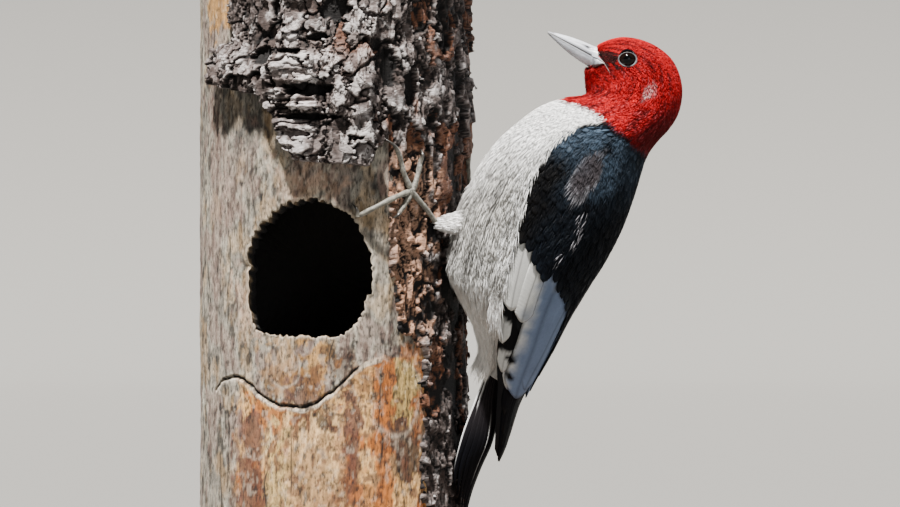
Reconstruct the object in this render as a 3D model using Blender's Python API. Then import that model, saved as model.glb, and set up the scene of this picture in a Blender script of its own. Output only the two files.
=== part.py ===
# A red-headed woodpecker clinging to a cut length of pine trunk on a plain display stand.
# Shapes are worked out in millimetres and built in metres. +Z is up, the origin is the middle of
# the base's underside, the bird's left side faces -Y and its bill points to -X.

import math

import bmesh
import bpy
import numpy as np
from mathutils import Matrix

MM = 0.001
GAP = 0.3  # left between neighbouring pieces

# Display stand
BASE_SIZE = (216.0, 146.0, 14.0)
BASE_CORNER = 18.0
BASE_EDGE = 1.5
ROD_RADIUS = 4.5
ROD_SPREAD = 34.0  # each rod's distance from the trunk's axis

# Cut length of trunk
TRUNK_X = -46.0
TRUNK_FOOT = 40.0
TRUNK_TOP = 272.0
WOOD_RADIUS = 55.5
BARK_THIN = 1.2
BARK_THICK = 2.4
BARK_SLAB = 4.2
TRUNK_SIDES = 56
TRUNK_ROWS = 20
HOLE_CENTRE = (-54.2, 154.2)
HOLE_HALF = (25.8, 28.6)
HOLE_FLOOR_POWER = 0.6  # the hole is arched above and squarer below
HOLE_BACK_Y = 8.0

# The bird's outer form: one station per line, from the bill's root to the folded wing tips.
# (back x, back z, front x, front z, half width, lift of the widest level, mid y, yaw in degrees)
STATIONS = np.array([
    (65.8, 247.6, 65.4, 237.2, 5.2, 0.00, -38.0, 0),   # bill root
    (68.4, 248.9, 61.8, 237.9, 7.6, 0.00, -38.0, 0),   # forehead to chin
    (72.4, 250.4, 61.6, 235.6, 9.8, -0.05, -38.0, 0),
    (78.0, 251.2, 61.8, 232.8, 11.0, -0.10, -38.0, 0),  # crown over the eye
    (85.0, 250.0, 62.0, 230.4, 12.1, -0.12, -38.0, 0),
    (92.0, 246.8, 62.2, 228.6, 13.3, -0.12, -38.0, 0),
    (98.0, 241.4, 62.2, 227.2, 14.2, -0.10, -38.0, 0),  # back of the head
    (101.3, 234.0, 60.6, 226.2, 14.8, -0.06, -38.0, 1),
    (102.0, 226.4, 57.6, 225.6, 15.2, 0.00, -38.0, 3),  # nape to the throat's notch
    (100.2, 218.6, 52.6, 225.2, 16.6, 0.04, -38.0, 5),
    (96.3, 212.4, 47.0, 224.0, 19.0, 0.08, -38.0, 7),
    (91.5, 207.2, 40.6, 221.0, 22.2, 0.12, -37.8, 9),  # foot of the neck
    (87.5, 201.4, 33.6, 215.8, 25.0, 0.14, -37.3, 11),
    (85.0, 193.4, 26.6, 209.6, 27.2, 0.15, -36.8, 12),  # shoulders
    (82.0, 183.0, 19.6, 200.4, 28.6, 0.14, -36.2, 14),
    (77.6, 171.0, 13.9, 189.8, 29.0, 0.12, -35.5, 15),
    (71.0, 157.8, 8.7, 178.4, 28.6, 0.10, -34.6, 16),  # thighs
    (62.5, 144.4, 6.0, 165.2, 27.4, 0.08, -33.8, 17),
    (54.6, 131.0, 4.7, 153.2, 25.4, 0.08, -33.0, 18),  # lowest of the belly
    (47.2, 117.2, 8.2, 141.4, 22.6, 0.10, -31.2, 19),
    (40.2, 105.4, 11.0, 130.0, 18.8, 0.12, -29.2, 20),  # rump
    (35.0, 95.6, 13.4, 117.4, 14.6, 0.12, -27.6, 20),
    (31.6, 86.0, 15.6, 105.2, 10.8, 0.10, -26.2, 21),
    (28.6, 77.6, 18.6, 94.0, 7.4, 0.10, -25.2, 21),
    (25.6, 71.8, 21.6, 83.0, 4.6, 0.10, -24.6, 21),  # wing tips
], dtype=float)

# The rump under the wings, down to the tail's root, in the same columns
RUMP = np.array([
    (45.9, 125.6, 6.9, 146.6, 19.0, 0.00, -32.1, 18),
    (40.8, 118.8, 8.6, 140.6, 17.0, 0.00, -31.2, 19),
    (35.4, 112.6, 11.0, 130.0, 13.4, 0.00, -29.4, 20),
    (30.6, 106.0, 13.3, 117.6, 10.4, 0.00, -27.8, 20),
    (26.8, 101.6, 13.2, 106.0, 7.8, 0.00, -26.4, 21),
], dtype=float)

# Where the flesh is parted, counted in stations
HEAD_END = 7.5
NECK_END = 11.0
BREAST_END = 15.0
BODY_END = 18.5
CUT = 0.035  # half of a parting cut, in stations

# Folded wings
WING_START = 11.5
COVERTS_END = 17.5
SECONDARIES_END = 21.0
WING_END = 24.0
WING_THICK = 3.0
WING_TIP_THICK = 1.6
BACK_EDGE = [(11, 44), (14, 30), (16.5, 12), (18, 5), (24, 5)]  # station, degrees from the back
FRONT_EDGE = [(11, 96), (12.5, 102), (14, 101), (15.5, 94), (17, 86), (19, 79), (22, 79), (24, 84)]
COLUMNS = 12  # lattice columns on each side of the body
WING_COLUMNS = (2, 9)

# Bill
BILL_TIP = (45.6, 253.7)
BILL_ROOT_X = 65.0  # just ahead of the face
CULMEN_ROOT_Z = 247.5
COMMISSURE_ROOT_Z = 242.7
GONYS_ROOT_Z = 237.6
BILL_HALF_WIDTH = 4.7
BILL_TIP_HALF = 0.7
HEAD_Y = -38.0

# Eyes
EYE_CENTRE = (78.9, 241.9)
EYE_RADIUS = 4.4
EYE_OUT = 9.6  # from the head's middle plane

# Tail, along its ridge from root to tip: x, z, mid y, half width, fall of the eaves, thickness
TAIL = np.array([
    (25.4, 100.6, -26.0, 7.0, 4.0, 5.0),
    (25.0, 90.0, -25.0, 10.5, 8.5, 3.0),
    (22.8, 80.0, -24.0, 12.5, 9.5, 2.0),
    (17.8, 69.5, -22.4, 13.0, 6.0, 1.6),
    (13.6, 58.5, -20.6, 11.0, 2.6, 1.4),
    (11.2, 48.4, -19.4, 7.0, 0.6, 1.2),
], dtype=float)
TAIL_YAW = 21.0
TAIL_ROWS = 12
TAIL_COLUMNS = 16
TAIL_STEP = 0.30  # how far the outer feathers fall short of the middle ones

# Legs and feet. Toes lie on the bark: (outward, upward) millimetres from the foot's middle.
ANKLE = {"left": (-0.4, -38.6, 172.6), "right": (13.6, -7.4, 175.0)}
KNEE = {"left": (26.0, -42.0, 173.6), "right": (30.0, -26.0, 177.0)}
FOOT = {"left": (36.0, 186.2), "right": (93.0, 191.5)}  # degrees round from the front, height
THIGH_RADII = (2.1, 10.5)
TARSUS_RADIUS = 1.25
TOE_RADII = (1.25, 0.95)
TOES = [
    ([(2.2, -0.4), (9.0, -2.6), (17.0, -6.6), (23.5, -10.6)], (25.4, -4.8)),
    ([(1.1, 2.4), (4.0, 8.0), (5.6, 13.0), (7.6, 17.6)], (12.6, 22.0)),
    ([(-1.6, 2.2), (-3.6, 7.6), (-4.8, 13.0)], (-5.6, 18.0)),
    ([(1.2, -2.4), (3.6, -5.6), (6.2, -8.4)], (9.6, -11.4)),
]
CLAW_START = 1.15  # clear of the toe's end
CLAW_RISE = 1.3


def along(table, t):
    """Rows of a table at places t, on a smooth curve through its rows (Catmull-Rom)."""
    t = np.asarray(t, dtype=float)
    i = np.clip(np.floor(t).astype(int), 0, len(table) - 2)
    f = (t - i)[..., None]
    rows = [table[np.clip(i + k, 0, len(table) - 1)] for k in (-1, 0, 1, 2)]
    a, b, c, d = rows
    return 0.5 * (2 * b + (c - a) * f + (2 * a - 5 * b + 4 * c - d) * f**2
                  + (3 * b - 3 * c + d - a) * f**3)


def section(table, t, phi, depth):
    """Points round the sections at t; phi runs from the back (0) over the left side."""
    row = along(table, t)
    bx, bz, fx, fz, wide, lift, mid, yaw = np.moveaxis(row, -1, 0)
    half = np.hypot(bx - fx, bz - fz) / 2
    up = np.cos(phi) * (1 - depth / half)
    side = np.sin(phi - lift * np.sin(phi)) * (wide - depth)
    turn = np.radians(yaw)
    reach = (bx - fx) / 2 * up
    x = (bx + fx) / 2 + reach * np.cos(turn) - side * np.sin(turn)
    y = mid - reach * np.sin(turn) - side * np.cos(turn)
    z = (bz + fz) / 2 + (bz - fz) / 2 * up
    return np.stack([x, y, z], axis=-1)


def lattice_angles(t):
    """Angles of the body's lattice at t: some lines follow the folded wing's two edges."""
    stations, degrees = np.array(BACK_EDGE, dtype=float).T
    back = np.interp(t, stations, degrees)
    stations, degrees = np.array(FRONT_EDGE, dtype=float).T
    front = np.interp(t, stations, degrees)
    lines = [0, WING_COLUMNS[0], WING_COLUMNS[1], COLUMNS]
    left = np.stack([np.interp(np.arange(COLUMNS + 1), lines, [0, b, f, 180])
                     for b, f in zip(back, front)])
    right = 360 - left[:, -2:0:-1]
    return np.radians(np.hstack([left, right]))


def new_object(name, verts, faces, material, smooth=True):
    """A mesh object from points in millimetres, its faces turned outward."""
    mesh = bpy.data.meshes.new(name)
    mesh.from_pydata([tuple(float(c) * MM for c in v) for v in verts], [], faces)
    work = bmesh.new()
    work.from_mesh(mesh)
    bmesh.ops.recalc_face_normals(work, faces=work.faces)
    work.to_mesh(mesh)
    work.free()
    if smooth:
        mesh.shade_smooth()
        mesh.set_sharp_from_angle(angle=math.radians(50))
    piece = bpy.data.objects.new(name, mesh)
    bpy.context.collection.objects.link(piece)
    if material is not None:
        mesh.materials.append(material)
    return piece


def loft(name, rings, material):
    """A closed solid through rings of equal length, with flat ends."""
    rows, around = rings.shape[:2]
    faces = [tuple(range(around)), tuple((rows - 1) * around + k for k in range(around))]
    for r in range(rows - 1):
        for k in range(around):
            a, b = r * around + k, r * around + (k + 1) % around
            faces.append((a, b, b + around, a + around))
    return new_object(name, rings.reshape(-1, 3), faces, material)


def slab(name, outer, inner, material):
    """A closed sheet between two lattices of the same size."""
    rows, cols = outer.shape[:2]
    count = rows * cols
    faces = []
    for r in range(rows - 1):
        for c in range(cols - 1):
            a = r * cols + c
            quad = (a, a + 1, a + cols + 1, a + cols)
            faces += [quad, tuple(q + count for q in quad)]
    rim = [c for c in range(cols)] + [r * cols + cols - 1 for r in range(1, rows)]
    rim += [(rows - 1) * cols + c for c in range(cols - 2, -1, -1)]
    rim += [r * cols for r in range(rows - 2, 0, -1)]
    for a, b in zip(rim, rim[1:] + rim[:1]):
        faces.append((a, b, b + count, a + count))
    verts = np.concatenate([outer.reshape(-1, 3), inner.reshape(-1, 3)])
    return new_object(name, verts, faces, material)


def tube(name, path, radii, sides, material):
    """A round rod with a changing radius along a path, closed at both ends."""
    path = np.asarray(path, dtype=float)
    ahead = np.gradient(path, axis=0)
    ahead /= np.linalg.norm(ahead, axis=1)[:, None]
    seed = np.array([0.0, 0.0, 1.0]) if abs(ahead[0][2]) < 0.8 else np.array([0.0, 1.0, 0.0])
    rings = []
    angle = np.linspace(0, 2 * math.pi, sides, endpoint=False)[:, None]
    for point, way, radius in zip(path, ahead, radii):
        first = np.cross(way, seed)
        first /= np.linalg.norm(first)
        second = np.cross(way, first)
        rings.append(point + radius * (np.cos(angle) * first + np.sin(angle) * second))
    return loft(name, np.array(rings), material)


def material(name, colour, roughness, metallic=0.0):
    """A Principled material from an sRGB colour in 0-255."""
    mat = bpy.data.materials.new(name)
    mat.use_nodes = True
    shader = mat.node_tree.nodes["Principled BSDF"]
    linear = [((c / 255 + 0.055) / 1.055) ** 2.4 if c > 10 else c / 255 / 12.92 for c in colour]
    shader.inputs["Base Color"].default_value = (*linear, 1.0)
    shader.inputs["Roughness"].default_value = roughness
    shader.inputs["Metallic"].default_value = metallic
    return mat


def cut(piece, cutter, name):
    """Take the cutter's shape out of the piece."""
    cutter.hide_render = True
    cutter.display_type = "WIRE"
    boolean = piece.modifiers.new(name, "BOOLEAN")
    boolean.operation = "DIFFERENCE"
    boolean.solver = "EXACT"
    boolean.object = cutter


def stations_between(start, end, step=0.5):
    """Places from start to end, on whole steps in between."""
    inner = np.arange(math.ceil(start / step + 0.1) * step, end - 0.1 * step, step)
    return np.concatenate([[start], inner, [end]])


# --- the bird's flesh -------------------------------------------------------------------------

def flesh_rings(start, end, step=0.5, grow=0.0):
    """Rings of the outer form, sunk where a folded wing lies over it."""
    t = stations_between(start, end, step)
    phi = lattice_angles(t)
    depth = np.full(phi.shape, -grow)
    under = (t >= WING_START - 0.01)[:, None]
    first, last = WING_COLUMNS
    column = np.arange(phi.shape[1])
    mirrored = np.minimum(column, 2 * COLUMNS - column)
    covered = under & (mirrored >= first) & (mirrored <= last)
    depth = np.where(covered, WING_THICK + GAP - grow, depth)
    return section(STATIONS, t[:, None], phi, depth)


def build_flesh(mats):
    spans = [
        ("head", 0.0, HEAD_END - CUT, mats["red_feathers"]),
        ("neck", HEAD_END + CUT, NECK_END - CUT, mats["red_feathers"]),
        ("breast", NECK_END + CUT, BREAST_END - CUT / 2, mats["white_feathers"]),
        ("belly", BREAST_END + CUT / 2, BODY_END - CUT / 2, mats["white_feathers"]),
    ]
    pieces = {name: loft(name, flesh_rings(a, b), mat) for name, a, b, mat in spans}
    t = np.linspace(0, len(RUMP) - 1, 8)
    phi = np.linspace(0, 2 * math.pi, 16, endpoint=False)
    loft("rump", section(RUMP, t[:, None], phi[None, :], 0.0), mats["white_feathers"])
    return pieces


def build_wing(side, mats):
    """Coverts, secondaries and primaries of one folded wing, as three curved sheets."""
    first, last = WING_COLUMNS
    columns = np.arange(first, last + 1)
    if side == "right":
        columns = 2 * COLUMNS - columns
    spans = [
        ("wing_coverts", WING_START, COVERTS_END - CUT / 2, mats["black_feathers"]),
        ("wing_secondaries", COVERTS_END + CUT / 2, SECONDARIES_END - CUT / 2,
         mats["white_feathers"]),
        ("wing_primaries", SECONDARIES_END + CUT / 2, WING_END, mats["black_feathers"]),
    ]
    for name, start, end, mat in spans:
        t = stations_between(start, end)
        phi = lattice_angles(t)[:, columns]
        thick = np.interp(t, [WING_START, SECONDARIES_END, WING_END],
                          [WING_THICK, WING_THICK, WING_TIP_THICK])[:, None]
        outer = section(STATIONS, t[:, None], phi, 0.0)
        inner = section(STATIONS, t[:, None], phi, thick)
        slab(f"{name}_{side}", outer, inner, mat)


def build_eyes(head, mats):
    for side, sign in (("left", -1), ("right", 1)):
        place = (EYE_CENTRE[0] * MM, (HEAD_Y + sign * EYE_OUT) * MM, EYE_CENTRE[1] * MM)
        for name, radius in ((f"eye_{side}", EYE_RADIUS), (f"socket_{side}", EYE_RADIUS + GAP)):
            mesh = bpy.data.meshes.new(name)
            work = bmesh.new()
            bmesh.ops.create_uvsphere(work, u_segments=14, v_segments=9, radius=radius * MM)
            bmesh.ops.rotate(work, verts=work.verts, matrix=Matrix.Rotation(math.pi / 2, 3, "X"))
            work.to_mesh(mesh)
            work.free()
            mesh.shade_smooth()
            ball = bpy.data.objects.new(name, mesh)
            ball.location = place
            bpy.context.collection.objects.link(ball)
            if name.startswith("eye"):
                mesh.materials.append(mats["eye"])
            else:
                cut(head, ball, name)


def build_bill(mats):
    """Two mandibles with half-moon sections, meeting along a straight commissure."""
    steps = np.linspace(0, 1, 7)
    x = BILL_ROOT_X + (BILL_TIP[0] - BILL_ROOT_X) * steps
    swell = np.sin(np.pi * steps)
    commissure = COMMISSURE_ROOT_Z + (BILL_TIP[1] - 0.4 - COMMISSURE_ROOT_Z) * steps
    culmen = CULMEN_ROOT_Z + (BILL_TIP[1] - CULMEN_ROOT_Z) * steps + 0.7 * swell
    gonys = GONYS_ROOT_Z + (BILL_TIP[1] - 1.0 - GONYS_ROOT_Z) * steps - 0.5 * swell
    width = BILL_TIP_HALF + (BILL_HALF_WIDTH - BILL_TIP_HALF) * (1 - steps) ** 0.9
    angle = np.linspace(0, math.pi, 8)
    for name, edge, flat in (("bill_upper", culmen, commissure + GAP / 2),
                             ("bill_lower", gonys, commissure - GAP / 2)):
        rings = []
        for xi, w, e, f in zip(x, width, edge, flat):
            y = HEAD_Y + w * np.cos(angle)
            z = f + (e - f) * np.sin(angle) ** 0.8
            rings.append(np.stack([np.full(8, xi), y, z], axis=-1))
        loft(name, np.array(rings), mats["bill_horn"])


def build_tail(mats):
    """A roof-shaped fan of stiff feathers, its middle ones longest."""
    v = np.linspace(0, 1, TAIL_ROWS + 1)[:, None]
    u = np.linspace(-1, 1, TAIL_COLUMNS + 1)[None, :]
    reach = 1 - TAIL_STEP * np.abs(u) ** 1.4
    reach = reach - 0.025 * (np.arange(TAIL_COLUMNS + 1) % 2)[None, :]
    row = along(TAIL, v * reach * (len(TAIL) - 1))
    x, z, mid, wide, fall, thick = np.moveaxis(row, -1, 0)
    turn = math.radians(TAIL_YAW)
    side = u * wide

    def sheet(below):
        drop = fall * np.abs(u) ** 1.6 + below * thick
        return np.stack([x - drop * math.cos(turn) + side * math.sin(turn),
                         mid + drop * math.sin(turn) + side * math.cos(turn), z], axis=-1)

    slab("tail", sheet(0.0), sheet(1.0), mats["black_feathers"])


# --- legs -------------------------------------------------------------------------------------

def trunk_point(degrees, height, above):
    """A point above the trunk's surface, at an angle round from the front."""
    angle = math.radians(degrees)
    radius = float(trunk_radius(np.array(degrees), np.array(height))) + above
    return (TRUNK_X + radius * math.sin(angle), -radius * math.cos(angle), height)


def toe_point(side, outward, upward, above):
    """A point over the bark, measured from the foot's middle."""
    degrees, height = FOOT[side]
    sign = -1 if side == "left" else 1
    return trunk_point(degrees + sign * math.degrees(outward / WOOD_RADIUS), height + upward, above)


def build_leg(side, body_form, mats):
    ankle = np.array(ANKLE[side])
    knee = np.array(KNEE[side])
    steps = np.linspace(0, 1, 5)[:, None]
    radii = np.linspace(*THIGH_RADII, 5)
    thigh = tube(f"thigh_{side}", ankle + (knee - ankle) * steps, radii, 12, mats["white_feathers"])
    cut(thigh, body_form, "clear_of_body")

    foot = np.array(toe_point(side, 0, 0, TARSUS_RADIUS + GAP + 0.2))
    way = (foot - ankle) / np.linalg.norm(foot - ankle)
    start = ankle + way * (THIGH_RADII[0] + 0.6)
    path = [start, start * 0.6 + foot * 0.4, start * 0.2 + foot * 0.8, foot]
    tube(f"tarsus_{side}", path, [1.3, 1.05, 1.1, 1.4], 8, mats["leg_skin"])

    for number, (line, claw_tip) in enumerate(TOES, 1):
        count = len(line)
        radii = np.linspace(*TOE_RADII, count)
        path = [toe_point(side, out, up, radius + GAP) for (out, up), radius in zip(line, radii)]
        tube(f"toe_{side}_{number}", path, radii, 7, mats["leg_skin"])
        build_claw(side, number, line, claw_tip, mats)


def build_claw(side, number, line, tip, mats):
    """A hooked cone that rises from the toe's end and comes down on the bark."""
    before, end = np.array(line[-2]), np.array(line[-1])
    ahead = (end - before) / np.linalg.norm(end - before)
    start = end + ahead * CLAW_START
    bend = start + ahead * 2.0
    path, radii = [], []
    for s in np.linspace(0, 1, 5):
        spot = start * (1 - s) ** 2 + bend * 2 * s * (1 - s) + np.array(tip) * s**2
        radius = 0.85 * (1 - s) + 0.3 * s
        height = TOE_RADII[1] * (1 - s) + CLAW_RISE * math.sin(math.pi * s) + GAP + radius * s
        path.append(toe_point(side, spot[0], spot[1], height))
        radii.append(radius)
    tube(f"claw_{side}_{number}", path, radii, 6, mats["claw_horn"])


# --- the trunk and its stand ------------------------------------------------------------------

def smooth_step(low, high, value):
    part = np.clip((value - low) / (high - low), 0, 1)
    return part * part * (3 - 2 * part)


def rounded(value, power):
    return np.sign(value) * np.abs(value) ** power


def trunk_radius(degrees, height):
    """Bare wood, with bark above the hole, on the right side and round the back."""
    degrees = (np.asarray(degrees, dtype=float) + 180) % 360 - 180
    around = np.where(degrees < -100, degrees + 360, degrees)
    lower_edge = np.interp(around, [-62, -58, -28, -22, 16, 24, 250, 258],
                           [300, 224, 224, 198, 198, 0, 0, 300])
    bark = smooth_step(lower_edge - 3, lower_edge + 3, height)
    right = smooth_step(24, 40, around)
    thick = BARK_THICK + (BARK_THIN - BARK_THICK) * right * smooth_step(214, 196, height)
    hanging = smooth_step(-34, -24, around) * smooth_step(34, 24, around)
    thick = thick + (BARK_SLAB - BARK_THICK) * hanging * smooth_step(252, 236, height)
    lumps = 0.35 * np.sin(np.radians(around) * 9 + height / 11) * np.sin(height / 13)
    return WOOD_RADIUS + bark * (thick + lumps * (1 - right) + 0.3 * lumps * right)


def build_trunk(mats):
    heights = np.linspace(TRUNK_FOOT, TRUNK_TOP, TRUNK_ROWS + 1)[:, None]
    degrees = np.linspace(-180, 180, TRUNK_SIDES, endpoint=False)[None, :]
    radius = trunk_radius(degrees + 0 * heights, heights + 0 * degrees)
    angle = np.radians(degrees)
    rings = np.stack([TRUNK_X + radius * np.sin(angle), -radius * np.cos(angle),
                      heights + 0 * degrees], axis=-1)
    perch = loft("perch_trunk", rings, mats["pine_bark"])

    angle = np.linspace(0, 2 * math.pi, 28, endpoint=False)
    power = np.where(np.sin(angle) < -0.01, HOLE_FLOOR_POWER, 1.0)
    across = HOLE_CENTRE[0] + HOLE_HALF[0] * rounded(np.cos(angle), power)
    upward = HOLE_CENTRE[1] + HOLE_HALF[1] * rounded(np.sin(angle), power)
    rings = [np.stack([across, np.full(28, y), upward], axis=-1) for y in (-70.0, HOLE_BACK_Y)]
    hole = loft("hole_form", np.array(rings), None)
    cut(perch, hole, "hole")


def build_stand(mats):
    length, width, height = BASE_SIZE
    corner = []
    for cx, cy, first in ((1, 1, 0), (-1, 1, 90), (-1, -1, 180), (1, -1, 270)):
        for degrees in np.linspace(first, first + 90, 7):
            a = math.radians(degrees)
            corner.append((cx * (length / 2 - BASE_CORNER) + BASE_CORNER * math.cos(a),
                           cy * (width / 2 - BASE_CORNER) + BASE_CORNER * math.sin(a)))
    rings = [[(x, y, z) for x, y in corner] for z in (0.0, height)]
    base = loft("stand_base", np.array(rings), mats["stand_base"])
    bevel = base.modifiers.new("edge", "BEVEL")
    bevel.width = BASE_EDGE * MM
    bevel.segments = 2
    bevel.limit_method = "ANGLE"
    bevel.angle_limit = math.radians(60)
    for number, sign in ((1, -1), (2, 1)):
        x = TRUNK_X + sign * ROD_SPREAD
        path = [(x, 0, z) for z in (height + GAP, (height + TRUNK_FOOT) / 2, TRUNK_FOOT - GAP)]
        tube(f"stand_rod_{number}", path, [ROD_RADIUS] * 3, 20, mats["stand_rod"])


def main():
    for old in list(bpy.data.objects):
        bpy.data.objects.remove(old, do_unlink=True)
    mats = {
        "red_feathers": material("red_feathers", (204, 28, 28), 0.7),
        "white_feathers": material("white_feathers", (226, 224, 218), 0.8),
        "black_feathers": material("black_feathers", (16, 18, 30), 0.5),
        "bill_horn": material("bill_horn", (188, 192, 200), 0.35),
        "eye": material("eye", (22, 14, 12), 0.05),
        "leg_skin": material("leg_skin", (150, 150, 134), 0.6),
        "claw_horn": material("claw_horn", (70, 68, 66), 0.4),
        "pine_bark": material("pine_bark", (128, 112, 98), 0.9),
        "stand_base": material("stand_base", (60, 58, 56), 0.5),
        "stand_rod": material("stand_rod", (150, 150, 150), 0.3, 1.0),
    }
    flesh = build_flesh(mats)
    build_eyes(flesh["head"], mats)
    build_bill(mats)
    for side in ("left", "right"):
        build_wing(side, mats)
    build_tail(mats)
    body_form = loft("body_form", flesh_rings(12.5, 18.4, grow=GAP), None)
    for side in ("left", "right"):
        build_leg(side, body_form, mats)
    build_trunk(mats)
    build_stand(mats)


main()
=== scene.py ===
import math

import bpy
import numpy as np
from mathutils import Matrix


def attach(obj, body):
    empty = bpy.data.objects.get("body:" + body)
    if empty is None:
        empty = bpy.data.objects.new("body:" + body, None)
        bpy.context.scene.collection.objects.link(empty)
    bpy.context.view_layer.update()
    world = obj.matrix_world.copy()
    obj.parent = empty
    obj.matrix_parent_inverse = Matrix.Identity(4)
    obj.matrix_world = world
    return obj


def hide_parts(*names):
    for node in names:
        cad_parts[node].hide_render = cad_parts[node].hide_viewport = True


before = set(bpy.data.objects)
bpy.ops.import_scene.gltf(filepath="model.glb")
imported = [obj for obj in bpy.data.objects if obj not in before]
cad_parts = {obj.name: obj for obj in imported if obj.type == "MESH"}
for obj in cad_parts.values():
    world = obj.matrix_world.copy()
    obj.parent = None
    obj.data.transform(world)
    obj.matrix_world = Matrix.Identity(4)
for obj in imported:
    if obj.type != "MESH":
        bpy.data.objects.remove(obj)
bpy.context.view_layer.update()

mm = 0.001
unwrapPeriod = 0.98  # a full turn's share of a map


def smoothStep(low, high, value):  # 0 below low, 1 above high, an S curve between; low may be the larger
    part = np.clip((value - low) / (high - low), 0, 1)
    return part * part * (3 - 2 * part)


def unit(v):
    return v / np.maximum(np.linalg.norm(v, axis=-1, keepdims=True), 1e-12)


def abreast(*parts):  # arrays side by side: the x, y and z of points, or the corners of faces
    return np.stack(np.broadcast_arrays(*parts), axis=-1)


def fullTurn(count):  # angles once round
    return np.linspace(0, 2 * np.pi, count, endpoint=False)


def linear(hexColour):  # sRGB hex to linear light
    c = np.array([int(hexColour[i:i + 2], 16) for i in (1, 3, 5)]) / 255
    return np.where(c > 0.04045, ((c + 0.055) / 1.055) ** 2.4, c / 12.92)


def palette(**hexColours):
    return {name: linear(value) for name, value in hexColours.items()}


def blendTone(a, b, share):  # from a to b, share in 0..1 per point
    return a + (b - a) * share[..., None]


def paint(tone, *coats):  # coats of colour one over the other, each with its share per point
    for colour, share in coats:
        tone = blendTone(tone, colour, np.asarray(share))
    return tone


# value noise: random numbers on a cubic lattice, blended with eased fractions, from -1 to 1
def makeNoise(seed, size=24):
    table = np.random.default_rng(seed).random((size, size, size)) * 2 - 1

    def noise(p):
        low = np.floor(p).astype(int)
        f = p - low
        f = f * f * (3 - 2 * f)
        total = 0
        for dx, dy, dz in np.ndindex(2, 2, 2):
            at = table[(low[..., 0] + dx) % size, (low[..., 1] + dy) % size, (low[..., 2] + dz) % size]
            weight = (f[..., 0] if dx else 1 - f[..., 0]) * (f[..., 1] if dy else 1 - f[..., 1])
            total = total + at * weight * (f[..., 2] if dz else 1 - f[..., 2])
        return total
    return noise


def fractal(noise, p, octaves=3):  # each octave is twice as fine and half as strong
    return sum(noise(p * 2.0 ** k + 7.3 * k) * 0.5 ** k for k in range(octaves))


# verts in millimetres; faces is a list of index arrays, each with 3 or 4 columns
def makePiece(name, verts, faces, finish, nodes=(), tone=None, uv=None, extra=None, smooth=True):
    mesh = bpy.data.meshes.new(name)
    verts = np.asarray(verts, dtype=np.float32).reshape(-1, 3)
    mesh.vertices.add(len(verts))
    mesh.vertices.foreach_set("co", (verts * mm).ravel())
    loops = np.concatenate([f.ravel() for f in faces]).astype(np.int32)
    totals = np.concatenate([np.full(len(f), f.shape[1]) for f in faces])
    starts = np.concatenate([[0], np.cumsum(totals)[:-1]]).astype(np.int32)
    mesh.loops.add(len(loops))
    mesh.loops.foreach_set("vertex_index", loops)
    mesh.polygons.add(len(totals))
    mesh.polygons.foreach_set("loop_start", starts)
    mesh.update(calc_edges=True)
    mesh.validate()
    if smooth:
        mesh.shade_smooth()
    if tone is not None:
        colour = np.ones((len(verts), 4), dtype=np.float32)
        colour[:, :3] = np.clip(tone.reshape(-1, 3), 0, 1)
        mesh.attributes.new("tone", "FLOAT_COLOR", "POINT").data.foreach_set("color", colour.ravel())
    for key, values in (extra or {}).items():
        values = np.asarray(values, dtype=np.float32).ravel()
        mesh.attributes.new(key, "FLOAT", "POINT").data.foreach_set("value", values)
    if uv is not None:
        layer = mesh.uv_layers.new(name="OFBake")
        corners = []
        for part in (uv.reshape(-1, 2)[f] for f in faces):  # a face over the unwrap's seam goes on past it
            over = np.ptp(part, axis=1, keepdims=True) > 0.5
            corners.append(np.where(over & (part < 0.5), part + unwrapPeriod, part).reshape(-1, 2))
        layer.data.foreach_set("uv", np.concatenate(corners).astype(np.float32).ravel())
    mesh.materials.append(finish)
    piece = bpy.data.objects.new(name, mesh)
    bpy.context.scene.collection.objects.link(piece)
    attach(piece, "root")
    if nodes:
        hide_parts(*nodes)
    return piece


def gridFaces(rows, cols, wrap=False):  # quads of one lattice, columns joined round when wrapped
    r, c = np.meshgrid(np.arange(rows - 1), np.arange(cols if wrap else cols - 1), indexing="ij")
    a, b = r * cols + c, r * cols + (c + 1) % cols
    return abreast(a, b, b + cols, a + cols).reshape(-1, 4)


# a closed tube: wrapped lattice, its end poles being two added points; turned inside out for a mirrored side
def tubeFaces(rows, cols, flip=False):
    ring = np.arange(cols)
    first, last, end = rows * cols, rows * cols + 1, (rows - 1) * cols
    head = abreast(first, (ring + 1) % cols, ring)
    foot = abreast(last, end + ring, end + (ring + 1) % cols)
    faces = [gridFaces(rows, cols, wrap=True), head, foot]
    return [f[:, ::-1] for f in faces] if flip else faces


def withEnds(rings):  # a tube's points or tones, followed by the middles of its two end rings
    return np.vstack([rings.reshape(-1, 3), rings[0].mean(axis=0), rings[-1].mean(axis=0)])


def addNode(tree, kind, settings=None, inputs=None):
    node = tree.nodes.new(kind)
    for key, value in (settings or {}).items():
        setattr(node, key, value)
    for key, value in (inputs or {}).items():
        if isinstance(value, bpy.types.NodeSocket):
            tree.links.new(value, node.inputs[key])
        else:
            node.inputs[key].default_value = value
    return node


def newFinish(name, **shader):  # Principled material; constants go straight onto the shader's sockets
    finish = bpy.data.materials.new(name)
    finish.use_nodes = True
    tree = finish.node_tree
    main = tree.nodes["Principled BSDF"]
    for key, value in shader.items():
        main.inputs[key].default_value = value
    return finish, tree, main


def rgba(hexColour):
    return (*linear(hexColour), 1.0)


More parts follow.
